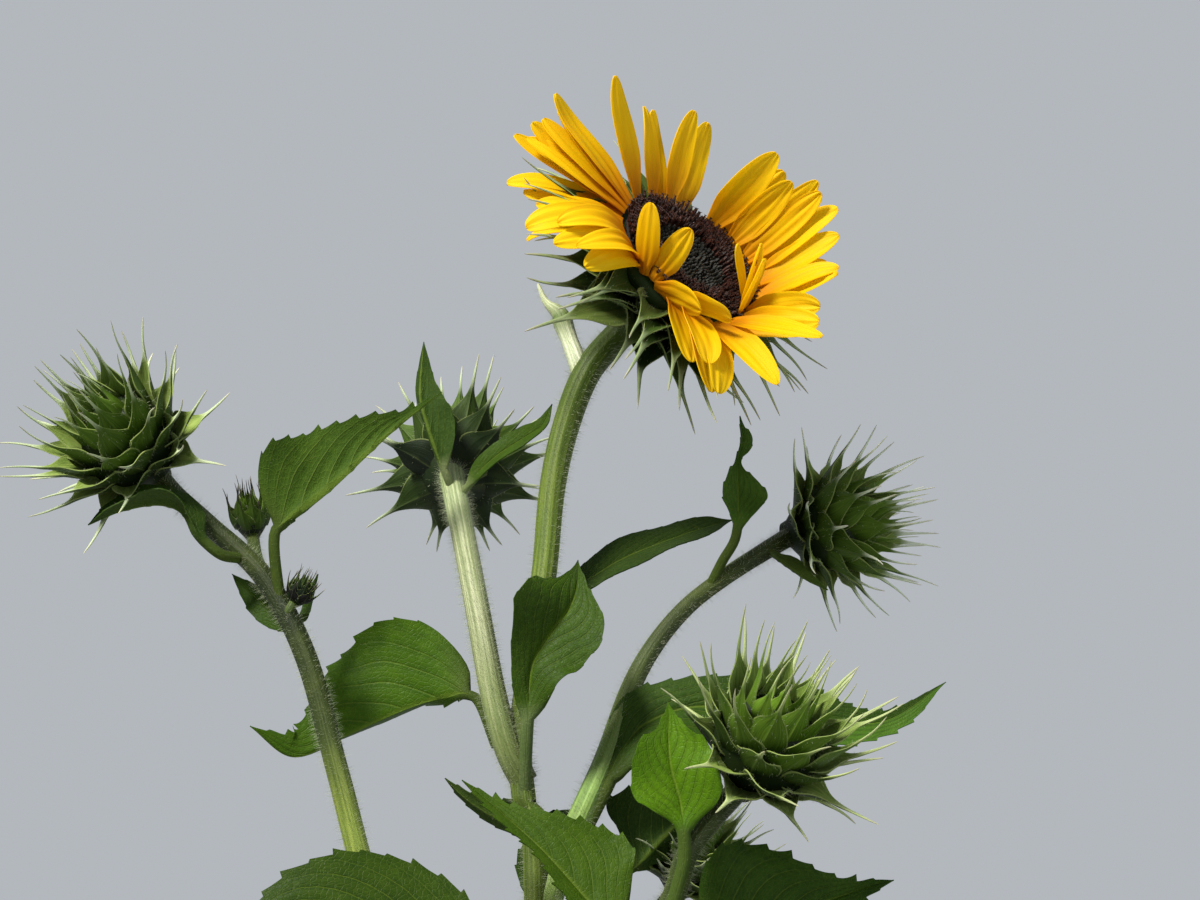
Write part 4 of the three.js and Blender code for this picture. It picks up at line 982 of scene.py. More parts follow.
# Rays by sector, each pair with its values at the sector's first and last turn.
RAY_SECTORS = table(
    "count turns lift bend length half lean twist",
    (7, (173, 197), (12, -4), (-6, -16), (58, 68), 8),
    (3, (197, 214), (-4, -16), (-36, -50), (48, 52), 7.8),
    (5, (216, 251), (30, 50), (-80, -95), (52, 42), 8),
    (2, (254, 264), (80, 88), (6, 0), (38, 36), 6.8, (-42, 6)),
    (2, (260, 292), (80, 74), (-10, -24), (24, 37), 7.8, (62, 58)),
    (4, (278, 314), (14, 6), (-24, -24), (40, 54), 8.6, (40, -6)),
    (2, (317, 331), (34, 46), (-18, -16), (66, 62), 7.4, (0, 0), 30),
    (2, (338, 356), (60, 58), (-6, -6), (50, 50), 7.6, (0, 0), 64),
    (4, (10, 44), (66, 62), (2, 6), (48, 52), 8.2),
    (6, (50, 98), (72, 74), (6, 8), (60, 54), 7.8),
    (4, (118, 150), (32, 24), (4, 6), (54, 52), 7.2),
    (1, (158, 168), (36, 36), (4, 4), (62, 62), 7.6),
    (4, (346, 374), (104, 126), (6, 12), (37, 37), 5.4),
)

# Turned bodies as corners of [radius, height]. A bud's are shares of its radius, above its neck.
BUD_URN = [(0.6, -0.68), (0.84, -0.3), (0.84, 0.1), (0.6, 0.5), (0.12, 0.8)]
CUP_PROFILE = [(8.6, -36), (12, -33.5), (24, -28), (34, -19), (40, -9), (41.5, -2.5), (39, 0.4)]
DOME_PROFILE = [(36, 0.4), (37, 1.6), (36.6, 3.4), (33, 4.4), (24, 4.2), (12, 3.6), (1.5, 3.4)]
OPEN_FLORET = [(0.55, -0.6), (0.7, 1.6), (0.85, 3.4), (0.3, 5.4)]
CLOSED_FLORET = [(0.75, -0.6), (0.95, 1.0), (0.7, 2.1), (0.15, 2.8)]


# Finishes

class Nodes:
    """Adds nodes to a tree and joins them."""

    def __init__(self, tree):
        self.tree = tree
        tree.nodes.clear()

    def add(self, kind, inputs=None, **settings):
        node = self.tree.nodes.new(kind)
        for key, value in settings.items():
            setattr(node, key, value)
        for key, value in (inputs or {}).items():
            if isinstance(value, bpy.types.NodeSocket):
                self.tree.links.new(value, node.inputs[key])
            else:
                node.inputs[key].default_value = value
        return node

    def maths(self, operation, *values):
        return self.add("ShaderNodeMath", dict(enumerate(values)), operation=operation).outputs[0]

    def weighed(self, a, share_a, b, share_b):
        """The sum of two values, each by its share."""
        return self.maths("ADD", self.maths("MULTIPLY", a, share_a), self.maths("MULTIPLY", b, share_b))

    def vector(self, x, y, z):
        return self.add("ShaderNodeCombineXYZ", {"X": x, "Y": y, "Z": z}).outputs[0]


class Finish(Nodes):
    """A material, with the helpers that its nodes need."""

    def __init__(self, name):
        self.material = bpy.data.materials.new(name)
        self.material.use_nodes = True
        super().__init__(self.material.node_tree)
        self.position = self.add("ShaderNodeTexCoord").outputs["Object"]

    def corner_values(self):
        """What the piece says of each corner: its spot and its tint."""
        spots, tint = (self.add("ShaderNodeAttribute", attribute_name=n) for n in ("place", "tint"))
        return spots.outputs["Vector"], tint.outputs["Color"]

    def along_and_across(self, spots):
        parts = self.add("ShaderNodeSeparateXYZ", {"Vector": spots}).outputs
        return parts["X"], parts["Y"]

    def spread(self, value, low, high, to_low=0.0, to_high=1.0):
        """Low to high of a value spread smoothly over two new ends."""
        inputs = {
            "Value": value, "From Min": low, "From Max": high, "To Min": to_low, "To Max": to_high,
        }
        return self.add("ShaderNodeMapRange", inputs, interpolation_type="SMOOTHSTEP").outputs[0]

    def blend(self, factor, a, b, kind="MIX"):
        inputs = {0: factor, 6: a, 7: b}
        return self.add("ShaderNodeMix", inputs, data_type="RGBA", blend_type=kind).outputs[2]

    def noise(self, vector, scale, detail=3.0, roughness=0.55):
        inputs = {"Vector": vector, "Scale": scale, "Detail": detail, "Roughness": roughness}
        return self.add("ShaderNodeTexNoise", inputs).outputs["Fac"]

    def streaks(self, spots, stretch, scale, detail, roughness=0.55):
        """Noise drawn out along the piece."""
        mapping = self.add("ShaderNodeMapping", {"Vector": spots, "Scale": stretch})
        return self.noise(mapping.outputs[0], scale, detail, roughness)

    def close(self, colour, height, bump, roughness, glow=0.0, glow_colour=None, gloss=0.2):
        """Ends the material: its colour, bump and roughness, with some light let through."""
        inputs = {"Height": height, "Distance": bump, "Strength": 0.8}
        normal = self.add("ShaderNodeBump", inputs).outputs[0]
        inputs = {"Base Color": colour, "Roughness": roughness, "Normal": normal}
        inputs["Specular IOR Level"] = gloss
        shader = self.add("ShaderNodeBsdfPrincipled", inputs).outputs[0]
        if glow:
            inputs = {"Color": glow_colour or colour, "Normal": normal}
            through = self.add("ShaderNodeBsdfTranslucent", inputs).outputs[0]
            shader = self.add("ShaderNodeMixShader", {0: glow, 1: shader, 2: through}).outputs[0]
        self.add("ShaderNodeOutputMaterial", {"Surface": shader})
        return self.material


def rgba(colour):
    return (*colour[:3], 1.0)


def stem_finish(colours):
    """Stem skin: dark streaks along it, fresh patches and a fine grain."""
    skin = Finish("stem_skin")
    spots, tint = skin.corner_values()
    streak = skin.streaks(spots, (1.6, 26, 7), 1.0, 4)
    patch = skin.noise(skin.position, 45, 3)
    grain = skin.noise(skin.position, 1400, 2)
    dark = skin.blend(0.6, tint, (0.28, 0.4, 0.16, 1), "MULTIPLY")
    colour = skin.blend(skin.spread(streak, 0.42, 0.62), dark, tint)
    fresh = skin.spread(patch, 0.35, 0.75, 0.0, 0.16)
    colour = skin.blend(fresh, colour, rgba(colours.stem_fresh))
    height = skin.weighed(streak, 0.7, grain, 0.3)
    roughness = skin.spread(grain, 0.3, 0.7, 0.42, 0.6)
    return skin.close(colour, height, bump=0.0009, roughness=roughness)


def leaf_finish(name, colours, settings, upper):
    """Leaf skin: pale veins that follow the blade, a fine net between them, and mottling."""
    skin = Finish(name)
    spots, tint = skin.corner_values()
    length, across = skin.along_and_across(spots)
    away = skin.maths("ABSOLUTE", across)
    leaned = skin.maths("MULTIPLY", skin.maths("POWER", away, VEIN_CURVE), settings.vein_lean)
    phase = skin.maths("SUBTRACT", length, leaned)
    phase = skin.maths("MULTIPLY", phase, float(settings.veins))
    vein = skin.spread(skin.maths("PINGPONG", phase, 0.5), 0.0, 0.075, 1.0, 0.0)
    vein = skin.maths("MULTIPLY", vein, skin.spread(away, 0.5, 1.0, 1.0, 0.25))
    between = skin.maths("PINGPONG", skin.maths("MULTIPLY", phase, 4.0), 0.5)
    vein = skin.maths("MAXIMUM", vein, skin.spread(between, 0.0, 0.13, 0.3, 0.0))
    rib = skin.spread(away, 0.0, 0.07, 1.0, 0.0)
    mark = skin.maths("MAXIMUM", skin.maths("MULTIPLY", vein, 0.75), rib)
    inputs = {"Vector": skin.position, "Scale": 380.0}
    cells = skin.add("ShaderNodeTexVoronoi", inputs, feature="DISTANCE_TO_EDGE")
    net = skin.spread(cells.outputs["Distance"], 0.0, 0.12, 1.0, 0.0)
    patch = skin.noise(skin.position, 60, 4)
    grain = skin.noise(skin.position, 1100, 2)
    deep = skin.blend(0.6, tint, (0.35, 0.5, 0.25, 1), "MULTIPLY")
    colour = skin.blend(skin.spread(patch, 0.3, 0.7), deep, tint)
    colour = skin.blend(skin.spread(grain, 0.35, 0.65, 0.0, 0.5), colour, deep)
    colour = skin.blend(skin.maths("MULTIPLY", net, 0.08), colour, rgba(colours.vein))
    strength = skin.maths("MULTIPLY", mark, 0.42 if upper else 0.4)
    colour = skin.blend(strength, colour, rgba(colours.vein))
    veins_sink = -1.0 if upper else 1.0
    height = skin.weighed(skin.weighed(mark, 0.6, net, 0.2), veins_sink, grain, 0.25)
    through = skin.blend(1.0, colour, (0.85, 1.0, 0.25, 1), "MULTIPLY")
    smoothest = 0.42 if upper else 0.6
    roughness = skin.spread(grain, 0.3, 0.7, smoothest, smoothest + 0.16)
    return skin.close(colour, height, 0.0007, roughness, glow=0.3, glow_colour=through, gloss=0.12)


def bract_finish(colours):
    """Bract skin: streaks along it, a pale margin and a pale midrib."""
    skin = Finish("bract_skin")
    spots, tint = skin.corner_values()
    _, across = skin.along_and_across(spots)
    streak = skin.streaks(spots, (2.5, 9, 13), 1.4, 3)
    grain = skin.noise(skin.position, 1600, 2)
    dark = skin.blend(0.7, tint, (0.4, 0.55, 0.3, 1), "MULTIPLY")
    colour = skin.blend(skin.spread(streak, 0.35, 0.65), dark, tint)
    away = skin.maths("ABSOLUTE", across)
    midrib = skin.spread(away, 0.0, 0.07, 0.12, 0.0)
    margin = skin.maths("MULTIPLY", skin.spread(away, 0.92, 0.985), 0.5)
    edge = skin.maths("MAXIMUM", margin, midrib)
    colour = skin.blend(edge, colour, rgba(colours.bract_edge))
    height = skin.weighed(streak, 0.6, grain, 0.3)
    roughness = skin.spread(grain, 0.3, 0.7, 0.5, 0.68)
    return skin.close(colour, height, bump=0.0006, roughness=roughness, glow=0.12)


def ray_finish(colours):
    """Petal skin: fine lengthwise veins over a tint that runs from the foot to the tip."""
    skin = Finish("ray_skin")
    spots, tint = skin.corner_values()
    _, across = skin.along_and_across(spots)
    streak = skin.streaks(spots, (0.9, 6, 17), 1.2, 2, 0.5)
    fine = skin.maths("SINE", skin.maths("MULTIPLY", across, 14.0))
    patch = skin.noise(skin.position, 55, 3)
    warm = skin.blend(0.42, tint, (1.0, 0.8, 0.25, 1), "MULTIPLY")
    colour = skin.blend(skin.spread(streak, 0.36, 0.6), warm, tint)
    pale = skin.spread(patch, 0.45, 0.8, 0.0, 0.35)
    colour = skin.blend(pale, colour, rgba(colours.ray_tip))
    height = skin.weighed(streak, 1.0, fine, 0.12)
    through = skin.add("ShaderNodeGamma", {"Color": colour, "Gamma": 0.6}).outputs[0]
    return skin.close(colour, height, 0.00032, 0.5, glow=0.56, glow_colour=through, gloss=0.1)


def mottled_finish(name, low, high, patches, grains, bump, roughness, start=0.3, detail=2, glow=0.0):
    """A skin whose colour drifts between two in patches, with a fine grain."""
    skin = Finish(name)
    patch = skin.noise(skin.position, patches, detail)
    colour = skin.blend(skin.spread(patch, start, 0.7), rgba(low), rgba(high))
    grain = skin.noise(skin.position, grains, detail)
    return skin.close(colour, grain, bump, roughness, glow)


# Geometry node trees

class Tree(Nodes):
    """A geometry tree with its named inputs."""

    def __init__(self, name, inputs):
        super().__init__(bpy.data.node_groups.new(name, "GeometryNodeTree"))
        sockets = self.tree.interface
        sockets.new_socket("Geometry", in_out="INPUT", socket_type="NodeSocketGeometry")
        for label, value in inputs.items():
            kind = "NodeSocketInt" if isinstance(value, int) else "NodeSocketFloat"
            sockets.new_socket(label, in_out="INPUT", socket_type=kind).default_value = value
        sockets.new_socket("Geometry", in_out="OUTPUT", socket_type="NodeSocketGeometry")
        self.given = self.add("NodeGroupInput").outputs

    def random(self, low, high):
        """A seeded number between low and high, its own for each point."""
        inputs = {2: low, 3: high, "Seed": self.given["Seed"]}
        return self.add("FunctionNodeRandomValue", inputs, data_type="FLOAT").outputs[1]

    def planted(self, points, shape, rotation, size, material, chosen=True):
        """Real copies of a shape on the chosen points, in their finish."""
        inputs = {"Points": points, "Selection": chosen}
        inputs.update({"Instance": shape, "Rotation": rotation, "Scale": size})
        copies = self.add("GeometryNodeInstanceOnPoints", inputs)
        real = self.add("GeometryNodeRealizeInstances", {"Geometry": copies.outputs[0]})
        inputs = {"Geometry": real.outputs[0], "Material": material}
        return self.add("GeometryNodeSetMaterial", inputs).outputs[0]


def grown(source, tree, values):
    """The plain mesh that a tree makes on an object."""
    modifier = source.modifiers.new(tree.name, "NODES")
    modifier.node_group = tree
    for item in tree.interface.items_tree:
        if item.item_type == "SOCKET" and item.in_out == "INPUT" and item.name in values:
            modifier[item.identifier] = values[item.name]
    depsgraph = bpy.context.evaluated_depsgraph_get()
    mesh = bpy.data.meshes.new_from_object(source.evaluated_get(depsgraph), depsgraph=depsgraph)
    source.modifiers.remove(modifier)
    return mesh


def hair_tree(name, material):
    """Thin pointed hairs over a mesh, as dense as its fringe attribute says."""
    inputs = {"Density": 1e5, "Length": 0.002, "Width": 0.0001, "Lean": 0.5, "Seed": 1}
    nodes = Tree(name, inputs)
    given = nodes.given
    fringe = nodes.add("GeometryNodeInputNamedAttribute", {"Name": "fringe"}, data_type="FLOAT")
    density = nodes.maths("MULTIPLY", fringe.outputs[0], given["Density"])
    inputs = {"Mesh": given["Geometry"], "Density": density, "Seed": given["Seed"]}
    scatter = nodes.add("GeometryNodeDistributePointsOnFaces", inputs).outputs
    inputs = {
        "Vertices": 3, "Radius Top": 0.0, "Radius Bottom": given["Width"], "Depth": given["Length"],
    }
    cone = nodes.add("GeometryNodeMeshCone", inputs, fill_type="NGON").outputs["Mesh"]
    more = given["Lean"]
    less = nodes.maths("MULTIPLY", more, -1.0)
    inputs = {
        0: nodes.vector(less, less, -3.0), 1: nodes.vector(more, more, 3.0), "Seed": given["Seed"],
    }
    tilt = nodes.add("FunctionNodeRandomValue", inputs, data_type="FLOAT_VECTOR").outputs[0]
    inputs = {"Rotation": scatter["Rotation"], "Rotate By": tilt}
    turned = nodes.add("FunctionNodeRotateRotation", inputs, rotation_space="LOCAL").outputs[0]
    size = nodes.random(0.45, 1.25)
    hairs = nodes.planted(scatter["Points"], cone, turned, size, material)
    nodes.add("NodeGroupOutput", {"Geometry": hairs})
    return nodes.tree


def joined(name, meshes, material):
    """One object from several meshes of the same finish."""
    body = bmesh.new()
    for mesh in meshes:
        body.from_mesh(mesh)
    whole = mesh_of(body, name)
    whole.materials.clear()
    whole.materials.append(material)
    whole.polygons.foreach_set("material_index", np.zeros(len(whole.polygons), np.int32))
    return linked(name, whole)


def floret_piece(name, rings, lobes=0, lobe_length=0, sides=5):
    """One floret: a closed tube of rings, with pointed lobes that turn out at its mouth."""
    body = bmesh.new()
    turns = [2 * math.pi * k / sides for k in range(sides)]
    rows = []
    for radius, height in rings:
        spots = [(radius * math.cos(t), radius * math.sin(t), height) for t in turns]
        rows.append([body.verts.new(Vector(spot) * METRES) for spot in spots])
    for low, high in zip(rows, rows[1:]):
        for k in range(sides):
            after = (k + 1) % sides
            body.faces.new((low[k], low[after], high[after], high[k]))
    body.faces.new(rows[-1])
    body.faces.new(rows[0][::-1])
    radius, height = rings[-1]
    for k in range(lobes):
        turn = 2 * math.pi * (k + 0.5) / lobes
        out = Vector((math.cos(turn), math.sin(turn), 0))
        wide = Vector((-out.y, out.x, 0)) * 0.34
        foot = out * radius * 0.8 + Vector((0, 0, height - 0.25))
        tip = out * (radius + lobe_length) + Vector((0, 0, height + 0.35))
        spots = [foot + wide, foot - wide, foot + Vector((0, 0, 0.3)), tip]
        a, b, c, d = (body.verts.new(spot * METRES) for spot in spots)
        for face in ((a, b, d), (b, c, d), (c, a, d), (a, c, b)):
            body.faces.new(face)
    bmesh.ops.recalc_face_normals(body, faces=body.faces)
    return linked(name, mesh_of(body, name))


def floret_tree(open_floret, closed_floret, open_finish, closed_finish):
    """Florets on a golden-angle spiral over the disc: open ones outside, closed ones inside."""
    inputs = {
        "Count": 900, "Radius": 0.0378, "Height": 0.005, "Dip": 0.0015, "Open from": 0.022, "Seed": 3,
    }
    nodes = Tree("disc_florets", inputs)
    given = nodes.given
    line = nodes.add("GeometryNodePoints", {"Count": given["Count"]}).outputs[0]
    index = nodes.add("GeometryNodeInputIndex").outputs[0]
    share = nodes.maths("DIVIDE", nodes.maths("ADD", index, 0.5), given["Count"])
    spread = nodes.maths("SQRT", share)
    radius = nodes.maths("MULTIPLY", spread, given["Radius"])
    turn = nodes.maths("MULTIPLY", index, math.radians(GOLDEN_ANGLE))
    inner = nodes.maths("SUBTRACT", 1.0, spread)
    height = nodes.maths("SUBTRACT", given["Height"], nodes.maths("MULTIPLY", inner, given["Dip"]))
    x = nodes.maths("MULTIPLY", radius, nodes.maths("COSINE", turn))
    y = nodes.maths("MULTIPLY", radius, nodes.maths("SINE", turn))
    inputs = {"Geometry": line, "Position": nodes.vector(x, y, height)}
    placed = nodes.add("GeometryNodeSetPosition", inputs).outputs[0]
    splay = nodes.maths("MULTIPLY", nodes.maths("POWER", spread, 3.0), 0.5)
    rotation = nodes.vector(0.0, nodes.maths("ADD", splay, nodes.random(-0.16, 0.22)), turn)
    size = nodes.random(0.8, 1.2)
    inputs = {0: radius, 1: given["Open from"]}
    compare = nodes.add("FunctionNodeCompare", inputs, data_type="FLOAT", operation="GREATER_THAN")
    outside = compare.outputs[0]
    within = nodes.add("FunctionNodeBooleanMath", {0: outside}, operation="NOT").outputs[0]
    join = nodes.add("GeometryNodeJoinGeometry")
    kinds = ((open_floret, open_finish, outside), (closed_floret, closed_finish, within))
    for floret, material, chosen in kinds:
        shape = nodes.add("GeometryNodeObjectInfo", {"Object": floret}).outputs["Geometry"]
        copies = nodes.planted(placed, shape, rotation, size, material, chosen)
        nodes.tree.links.new(copies, join.inputs[0])
    nodes.add("NodeGroupOutput", {"Geometry": join.outputs[0]})
    return nodes.tree


# Settings that a user would change

def length_property(label, words, value):
    return FloatProperty(name=label, description=words, default=value, unit="LENGTH", precision=5)


def share_property(label, words, value):
    return FloatProperty(name=label, description=words, default=value, subtype="FACTOR", min=-1, max=2)


def amount_property(label, words, value):
    return FloatProperty(name=label, description=words, default=value, min=0)


def power_property(label, words, value):
    return FloatProperty(name=label, description=words, default=value, unit="POWER", min=0)


def colour_property(label, words, code):
    return FloatVectorProperty(
        name=label, description=words, default=paint(code), subtype="COLOR", size=3, min=0, max=1
    )


class SunflowerColours(bpy.types.PropertyGroup):
    ray_foot: colour_property("Ray foot", "Colour of a ray near the disc", "cf8307")
    ray_yellow: colour_property("Ray", "Colour of a ray's middle", "e9c60c")
    ray_tip: colour_property("Ray tip", "Colour of a ray's tip", "efd022")
    vein: colour_property("Vein", "Colour of a leaf's veins", "6e822c")
    stem_fresh: colour_property("Fresh stem", "Bright patches on the stems", "6d7a2c")
    # The dark bract colour, taken by the buds' lowest rows, is partly painted shade.
    bract_dark: colour_property("Dark bract", "Outer face of the lowest bracts", "1a290a")
    bract_green: colour_property("Bract", "Outer face of the upper bracts", "4b641a")
    bract_edge: colour_property("Bract edge", "Pale margin of a bract", "8f9c5c")
    needle_end: colour_property("Needle end", "Last part of a bract's needle", "d8bfc0")
    bract_inside: colour_property("Bract inside", "Inner face of a bract", "94a657")
    hair: colour_property("Hair", "Fine hairs on stems, leaves and bracts", "c2c7ab")


class SunflowerStems(bpy.types.PropertyGroup):
    ring_step: amount_property("Ring step", "Millimetres between rings", 3.2)
    ridges: IntProperty(name="Ridges", description="Low ridges round a stem", default=11, min=3)
    ridge_depth: share_property("Ridge depth", "Height of a ridge as a share of the radius", 0.03)
    hair_length: length_property("Hair length", "Length of the longest hairs", 0.004)
    hair_width: length_property("Hair width", "Radius of a hair at its foot", 0.000055)
    hair_density: amount_property("Hair density", "Hairs on a square metre", 480000)


class SunflowerLeaves(bpy.types.PropertyGroup):
    tooth_pitch: amount_property("Tooth pitch", "Millimetres between teeth", 8.5)
    tooth_depth: amount_property("Tooth depth", "Millimetres a tooth stands out", 2.6)
    tooth_sharpness: amount_property("Tooth sharpness", "Power of a tooth's rise", 2.2)
    veins: IntProperty(name="Veins", description="Pairs of side veins", default=7, min=2)
    vein_lean: share_property("Vein lean", "How far a side vein climbs to the margin", 0.55)
    pucker: amount_property("Pucker", "Millimetres the blade rises between veins", 0.8)
    wave: share_property("Wave", "Height of the margin's waves as a share of the half width", 0.07)
    leaf_thickness: amount_property("Thickness", "Millimetres of the blade", 0.6)
    hair_length: length_property("Hair length", "Length of the hairs on leaves", 0.0011)
    hair_density: amount_property("Hair density", "Hairs on a square metre of margin", 40000)


class SunflowerHeads(bpy.types.PropertyGroup):
    florets: IntProperty(name="Florets", description="Florets on the disc", default=900, min=50)
    open_from: length_property("Open from", "Radius beyond which the florets are open", 0.021)
    fringe_length: length_property("Fringe length", "Length of the hairs on bracts", 0.0013)
    fringe_density: amount_property("Fringe density", "Hairs on a square metre of a bract", 260000)
    bract_thickness: amount_property("Bract thickness", "Millimetres at the foot", 0.9)


class SunflowerStage(bpy.types.PropertyGroup):
    floor: colour_property("Floor", "Colour of the floor", "c9c8c4")
    backdrop: colour_property("Backdrop", "Colour all round the plant", "c6cbd1")
    key_power: power_property("Key light", "Power of the key light", 160)
    fill_power: power_property("Fill light", "Power of the fill light", 12)
    lens: amount_property("Lens", "Focal length in millimetres", 96)


GROUPS = {
    "sunflower_colours": SunflowerColours,
    "sunflower_stems": SunflowerStems,
    "sunflower_leaves": SunflowerLeaves,
    "sunflower_heads": SunflowerHeads,
    "sunflower_stage": SunflowerStage,
}


# Operators

def settle(piece, slot, *nodes):
    """The piece rides on the plant, stands for its nodes and takes its slot."""
    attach(piece, "root")
    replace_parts(piece, *nodes)
    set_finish(piece, slot)


def pieces_of(prefixes):
    return [o for o in bpy.context.scene.objects if o.name.startswith(prefixes) and "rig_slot" in o]


class SUNFLOWER_OT_stems(bpy.types.Operator):
    """Makes the main stem, the side stems and the dry stub"""

    bl_idname = "sunflower.stems"
    bl_label = "Stems"

    def execute(self, context):
        scene = context.scene
        finish = stem_finish(scene.sunflower_colours)
        for number, (name, spec) in enumerate(STEMS.items()):
            piece = Piece()
            add_limb(piece, spec, scene.sunflower_stems, number + 0.3)
            made = piece.build(name + "_skin", [finish])
            settle(made, "stub" if name == "stub_dry" else "stem", name)
        return {"FINISHED"}


class SUNFLOWER_OT_leaves(bpy.types.Operator):
    """Makes the leaves of the crown and of the lower stem"""

    bl_idname = "sunflower.leaves"
    bl_label = "Leaves"

    def execute(self, context):
        scene = context.scene
        settings = scene.sunflower_leaves
        upper = leaf_finish("leaf_upper", scene.sunflower_colours, settings, True)
        lower = leaf_finish("leaf_lower_face", scene.sunflower_colours, settings, False)
        specs = {}
        for name, spec in LEAVES.items():
            faces = [aim(*face) for face in spec["faces"]]
            specs[name] = {**spec, "points": points_of(spec), "faces": faces}
        curve = Curve(points_of(STEMS["stem_main"]))
        for number in range(LOWER_LEAVES):
            specs[f"leaf_lower_{number + 1:02d}"] = lower_leaf(number, curve)
        for number, (name, spec) in enumerate(specs.items()):
            piece = Piece()
            add_leaf(piece, spec, settings, number + 0.6)
            settle(piece.build(name + "_blade", [upper, lower]), "leaf", name)
        return {"FINISHED"}


def add_bracts(piece, head, rows, size, seed, colours, look, painted_light_contrast=1, tone=0, left_out=()):
    """Rows of bracts on a head, each a little different, without those that meet a leaf."""
    for number, row in enumerate(rows):
        for i in range(row["count"]):
            key = seed + 31 * number + i
            if key in left_out:
                continue
            blade = dict(
                turn=(360 * i) / row["count"] + (number * 180) / row["count"] + 9 * wobble(key),
                radius=row["radius"] * size,
                height=row["height"] * size,
                slope_from=row["slope_from"] + 5 * wobble(key + 0.3),
                slope_to=row["slope_to"] + 16 * wobble(key + 0.6),
                length=row["length"] * size * (1 + 0.15 * wobble(key + 0.9)),
                half=row["half"] * size,
                cup=0.5,
                cup_to=0.2,
                swing=9 * wobble(key + 0.2),
                roll=14 * wobble(key + 0.4),
                curl=20 * wobble(key + 0.15),
                # The rows' tones carry painted light from above and painted shade below; a bud may push
                # them further apart, and the small wobble is the bracts' own variation.
                tone=(row["tone"] + 0.15 * wobble(key + 0.5)) * painted_light_contrast + tone,
                **look,
            )
            add_bract(piece, head, blade, colours, key)


class SUNFLOWER_OT_buds(bpy.types.Operator):
    """Makes the closed buds from rows of overlapping bracts"""

    bl_idname = "sunflower.buds"
    bl_label = "Buds"

    def execute(self, context):
        scene = context.scene
        colours = scene.sunflower_colours
        finish = bract_finish(colours)
        for name, spec in BUDS.items():
            size, neck = spec["size"], spec["neck"]
            head = Head(spec["centre"], spec["facing"])
            urn = [(neck, -1.08), (neck * 1.25, -0.95), *BUD_URN]
            profile = [(radius * size, height * size) for radius, height in urn]
            piece = Piece()
            add_turned(piece, head, profile, sides=28, tint=np.array(colours.bract_dark) * 0.8)
            thick = scene.sunflower_heads.bract_thickness * min(1, size / 20)
            look = dict(thick=thick, needle=spec.get("needle", NEEDLE), inner=0.25, shade=0.8)
            rows = SMALL_ROWS if size < SMALL_BUD else BRACT_ROWS
            own = {key: spec[key] for key in ("painted_light_contrast", "tone", "left_out") if key in spec}
            add_bracts(piece, head, rows, size, spec["seed"], colours, look, **own)
            settle(piece.build(name + "_bracts", [finish]), "bract", name)
        return {"FINISHED"}


def ray_of_sector(sector, share, odd, key):
    """One ray, some way through its sector; every other ray stands a little higher."""
    lift = mix(*sector["lift"], share) + (5 if odd else -4) + 2 * wobble(key)
    return dict(
        turn=mix(*sector["turns"], share) + 2 * wobble(key + 0.1),
        lean=mix(*sector.get("lean", (0, 0)), share),
        twist=sector.get("twist", 0),
        radius=RAY_FOOT,
        height=2.8 if odd else 1.2,
        slope_from=lift,
        slope_to=lift + mix(*sector["bend"], share) + 8 * wobble(key + 0.4),
        length=mix(*sector["length"], share) * (1 + 0.12 * wobble(key + 0.7)),
        half=sector["half"] * (1 + 0.1 * wobble(key + 0.6)),
        cup=0.3,
        cup_to=0.08 + 0.2 * wobble(key + 0.8),
        swing=14 * wobble(key + 0.5),
        roll=18 * wobble(key + 0.3),
        curl=24 * wobble(key + 0.9),
        blush=0.62,
    )


class SUNFLOWER_OT_bloom(bpy.types.Operator):
    """Makes the open bloom: its green cup with bracts, and its yellow rays"""

    bl_idname = "sunflower.bloom"
    bl_label = "Bloom"

    def execute(self, context):
        colours = context.scene.sunflower_colours
        thick = context.scene.sunflower_heads.bract_thickness
        cup = Piece()
        add_turned(cup, BLOOM, CUP_PROFILE, sides=40, tint=np.array(colours.bract_dark) * 1.5)
        look = dict(thick=thick, needle="97a37c", inner=0.88, shade=0.4)
        add_bracts(cup, BLOOM, BLOOM_ROWS, size=1, seed=500, colours=colours, look=look)
        settle(cup.build("bloom_cup", [bpy.data.materials["bract_skin"]]), "bract", "bloom_base")
        rays = Piece()
        for number, sector in enumerate(RAY_SECTORS):
            for i in range(sector["count"]):
                key = 100 * number + i
                blade = ray_of_sector(sector, (i + 0.5) / sector["count"], i % 2, key)
                add_ray(rays, BLOOM, blade, colours, key)
        settle(rays.build("bloom_petals", [ray_finish(colours)]), "ray", "bloom_rays")
        return {"FINISHED"}


class SUNFLOWER_OT_disc(bpy.types.Operator):
    """Makes the dark disc and its florets on a golden-angle spiral"""

    bl_idname = "sunflower.disc"
    bl_label = "Disc"

    def execute(self, context):
        heads = context.scene.sunflower_heads
        kinds = (
            ("floret_ground", "140e0c", "221a16", 0.8),
            ("floret_open", "180a08", "3c1a10", 0.5),
            ("floret_closed", "0d0d0c", "24231c", 0.55),
        )
        dark, opened, closed = (
            mottled_finish(
                name, paint(low), paint(high),
                patches=420, grains=2400, bump=0.0003, roughness=roughness, start=0.35,
            )
            for name, low, high, roughness in kinds
        )
        dome = Piece()
        add_turned(dome, BLOOM, DOME_PROFILE, sides=48, tint=paint("1c1412"))
        settle(dome.build("disc_dome", [dark]), "disc", "bloom_disc")
        tube = floret_piece("open_floret", OPEN_FLORET, lobes=5, lobe_length=0.9)
        knob = floret_piece("closed_floret", CLOSED_FLORET)
        tree = floret_tree(tube, knob, opened, closed)
        base = linked("floret_base", bpy.data.meshes.new("floret_base"))
        mesh = grown(base, tree, {"Count": heads.florets, "Open from": heads.open_from})
        mesh.transform(BLOOM.matrix())
        florets = linked("disc_florets", mesh)
        for scrap in (base, tube, knob):
            bpy.data.objects.remove(scrap)
        settle(florets, "disc", "bloom_disc")
        return {"FINISHED"}


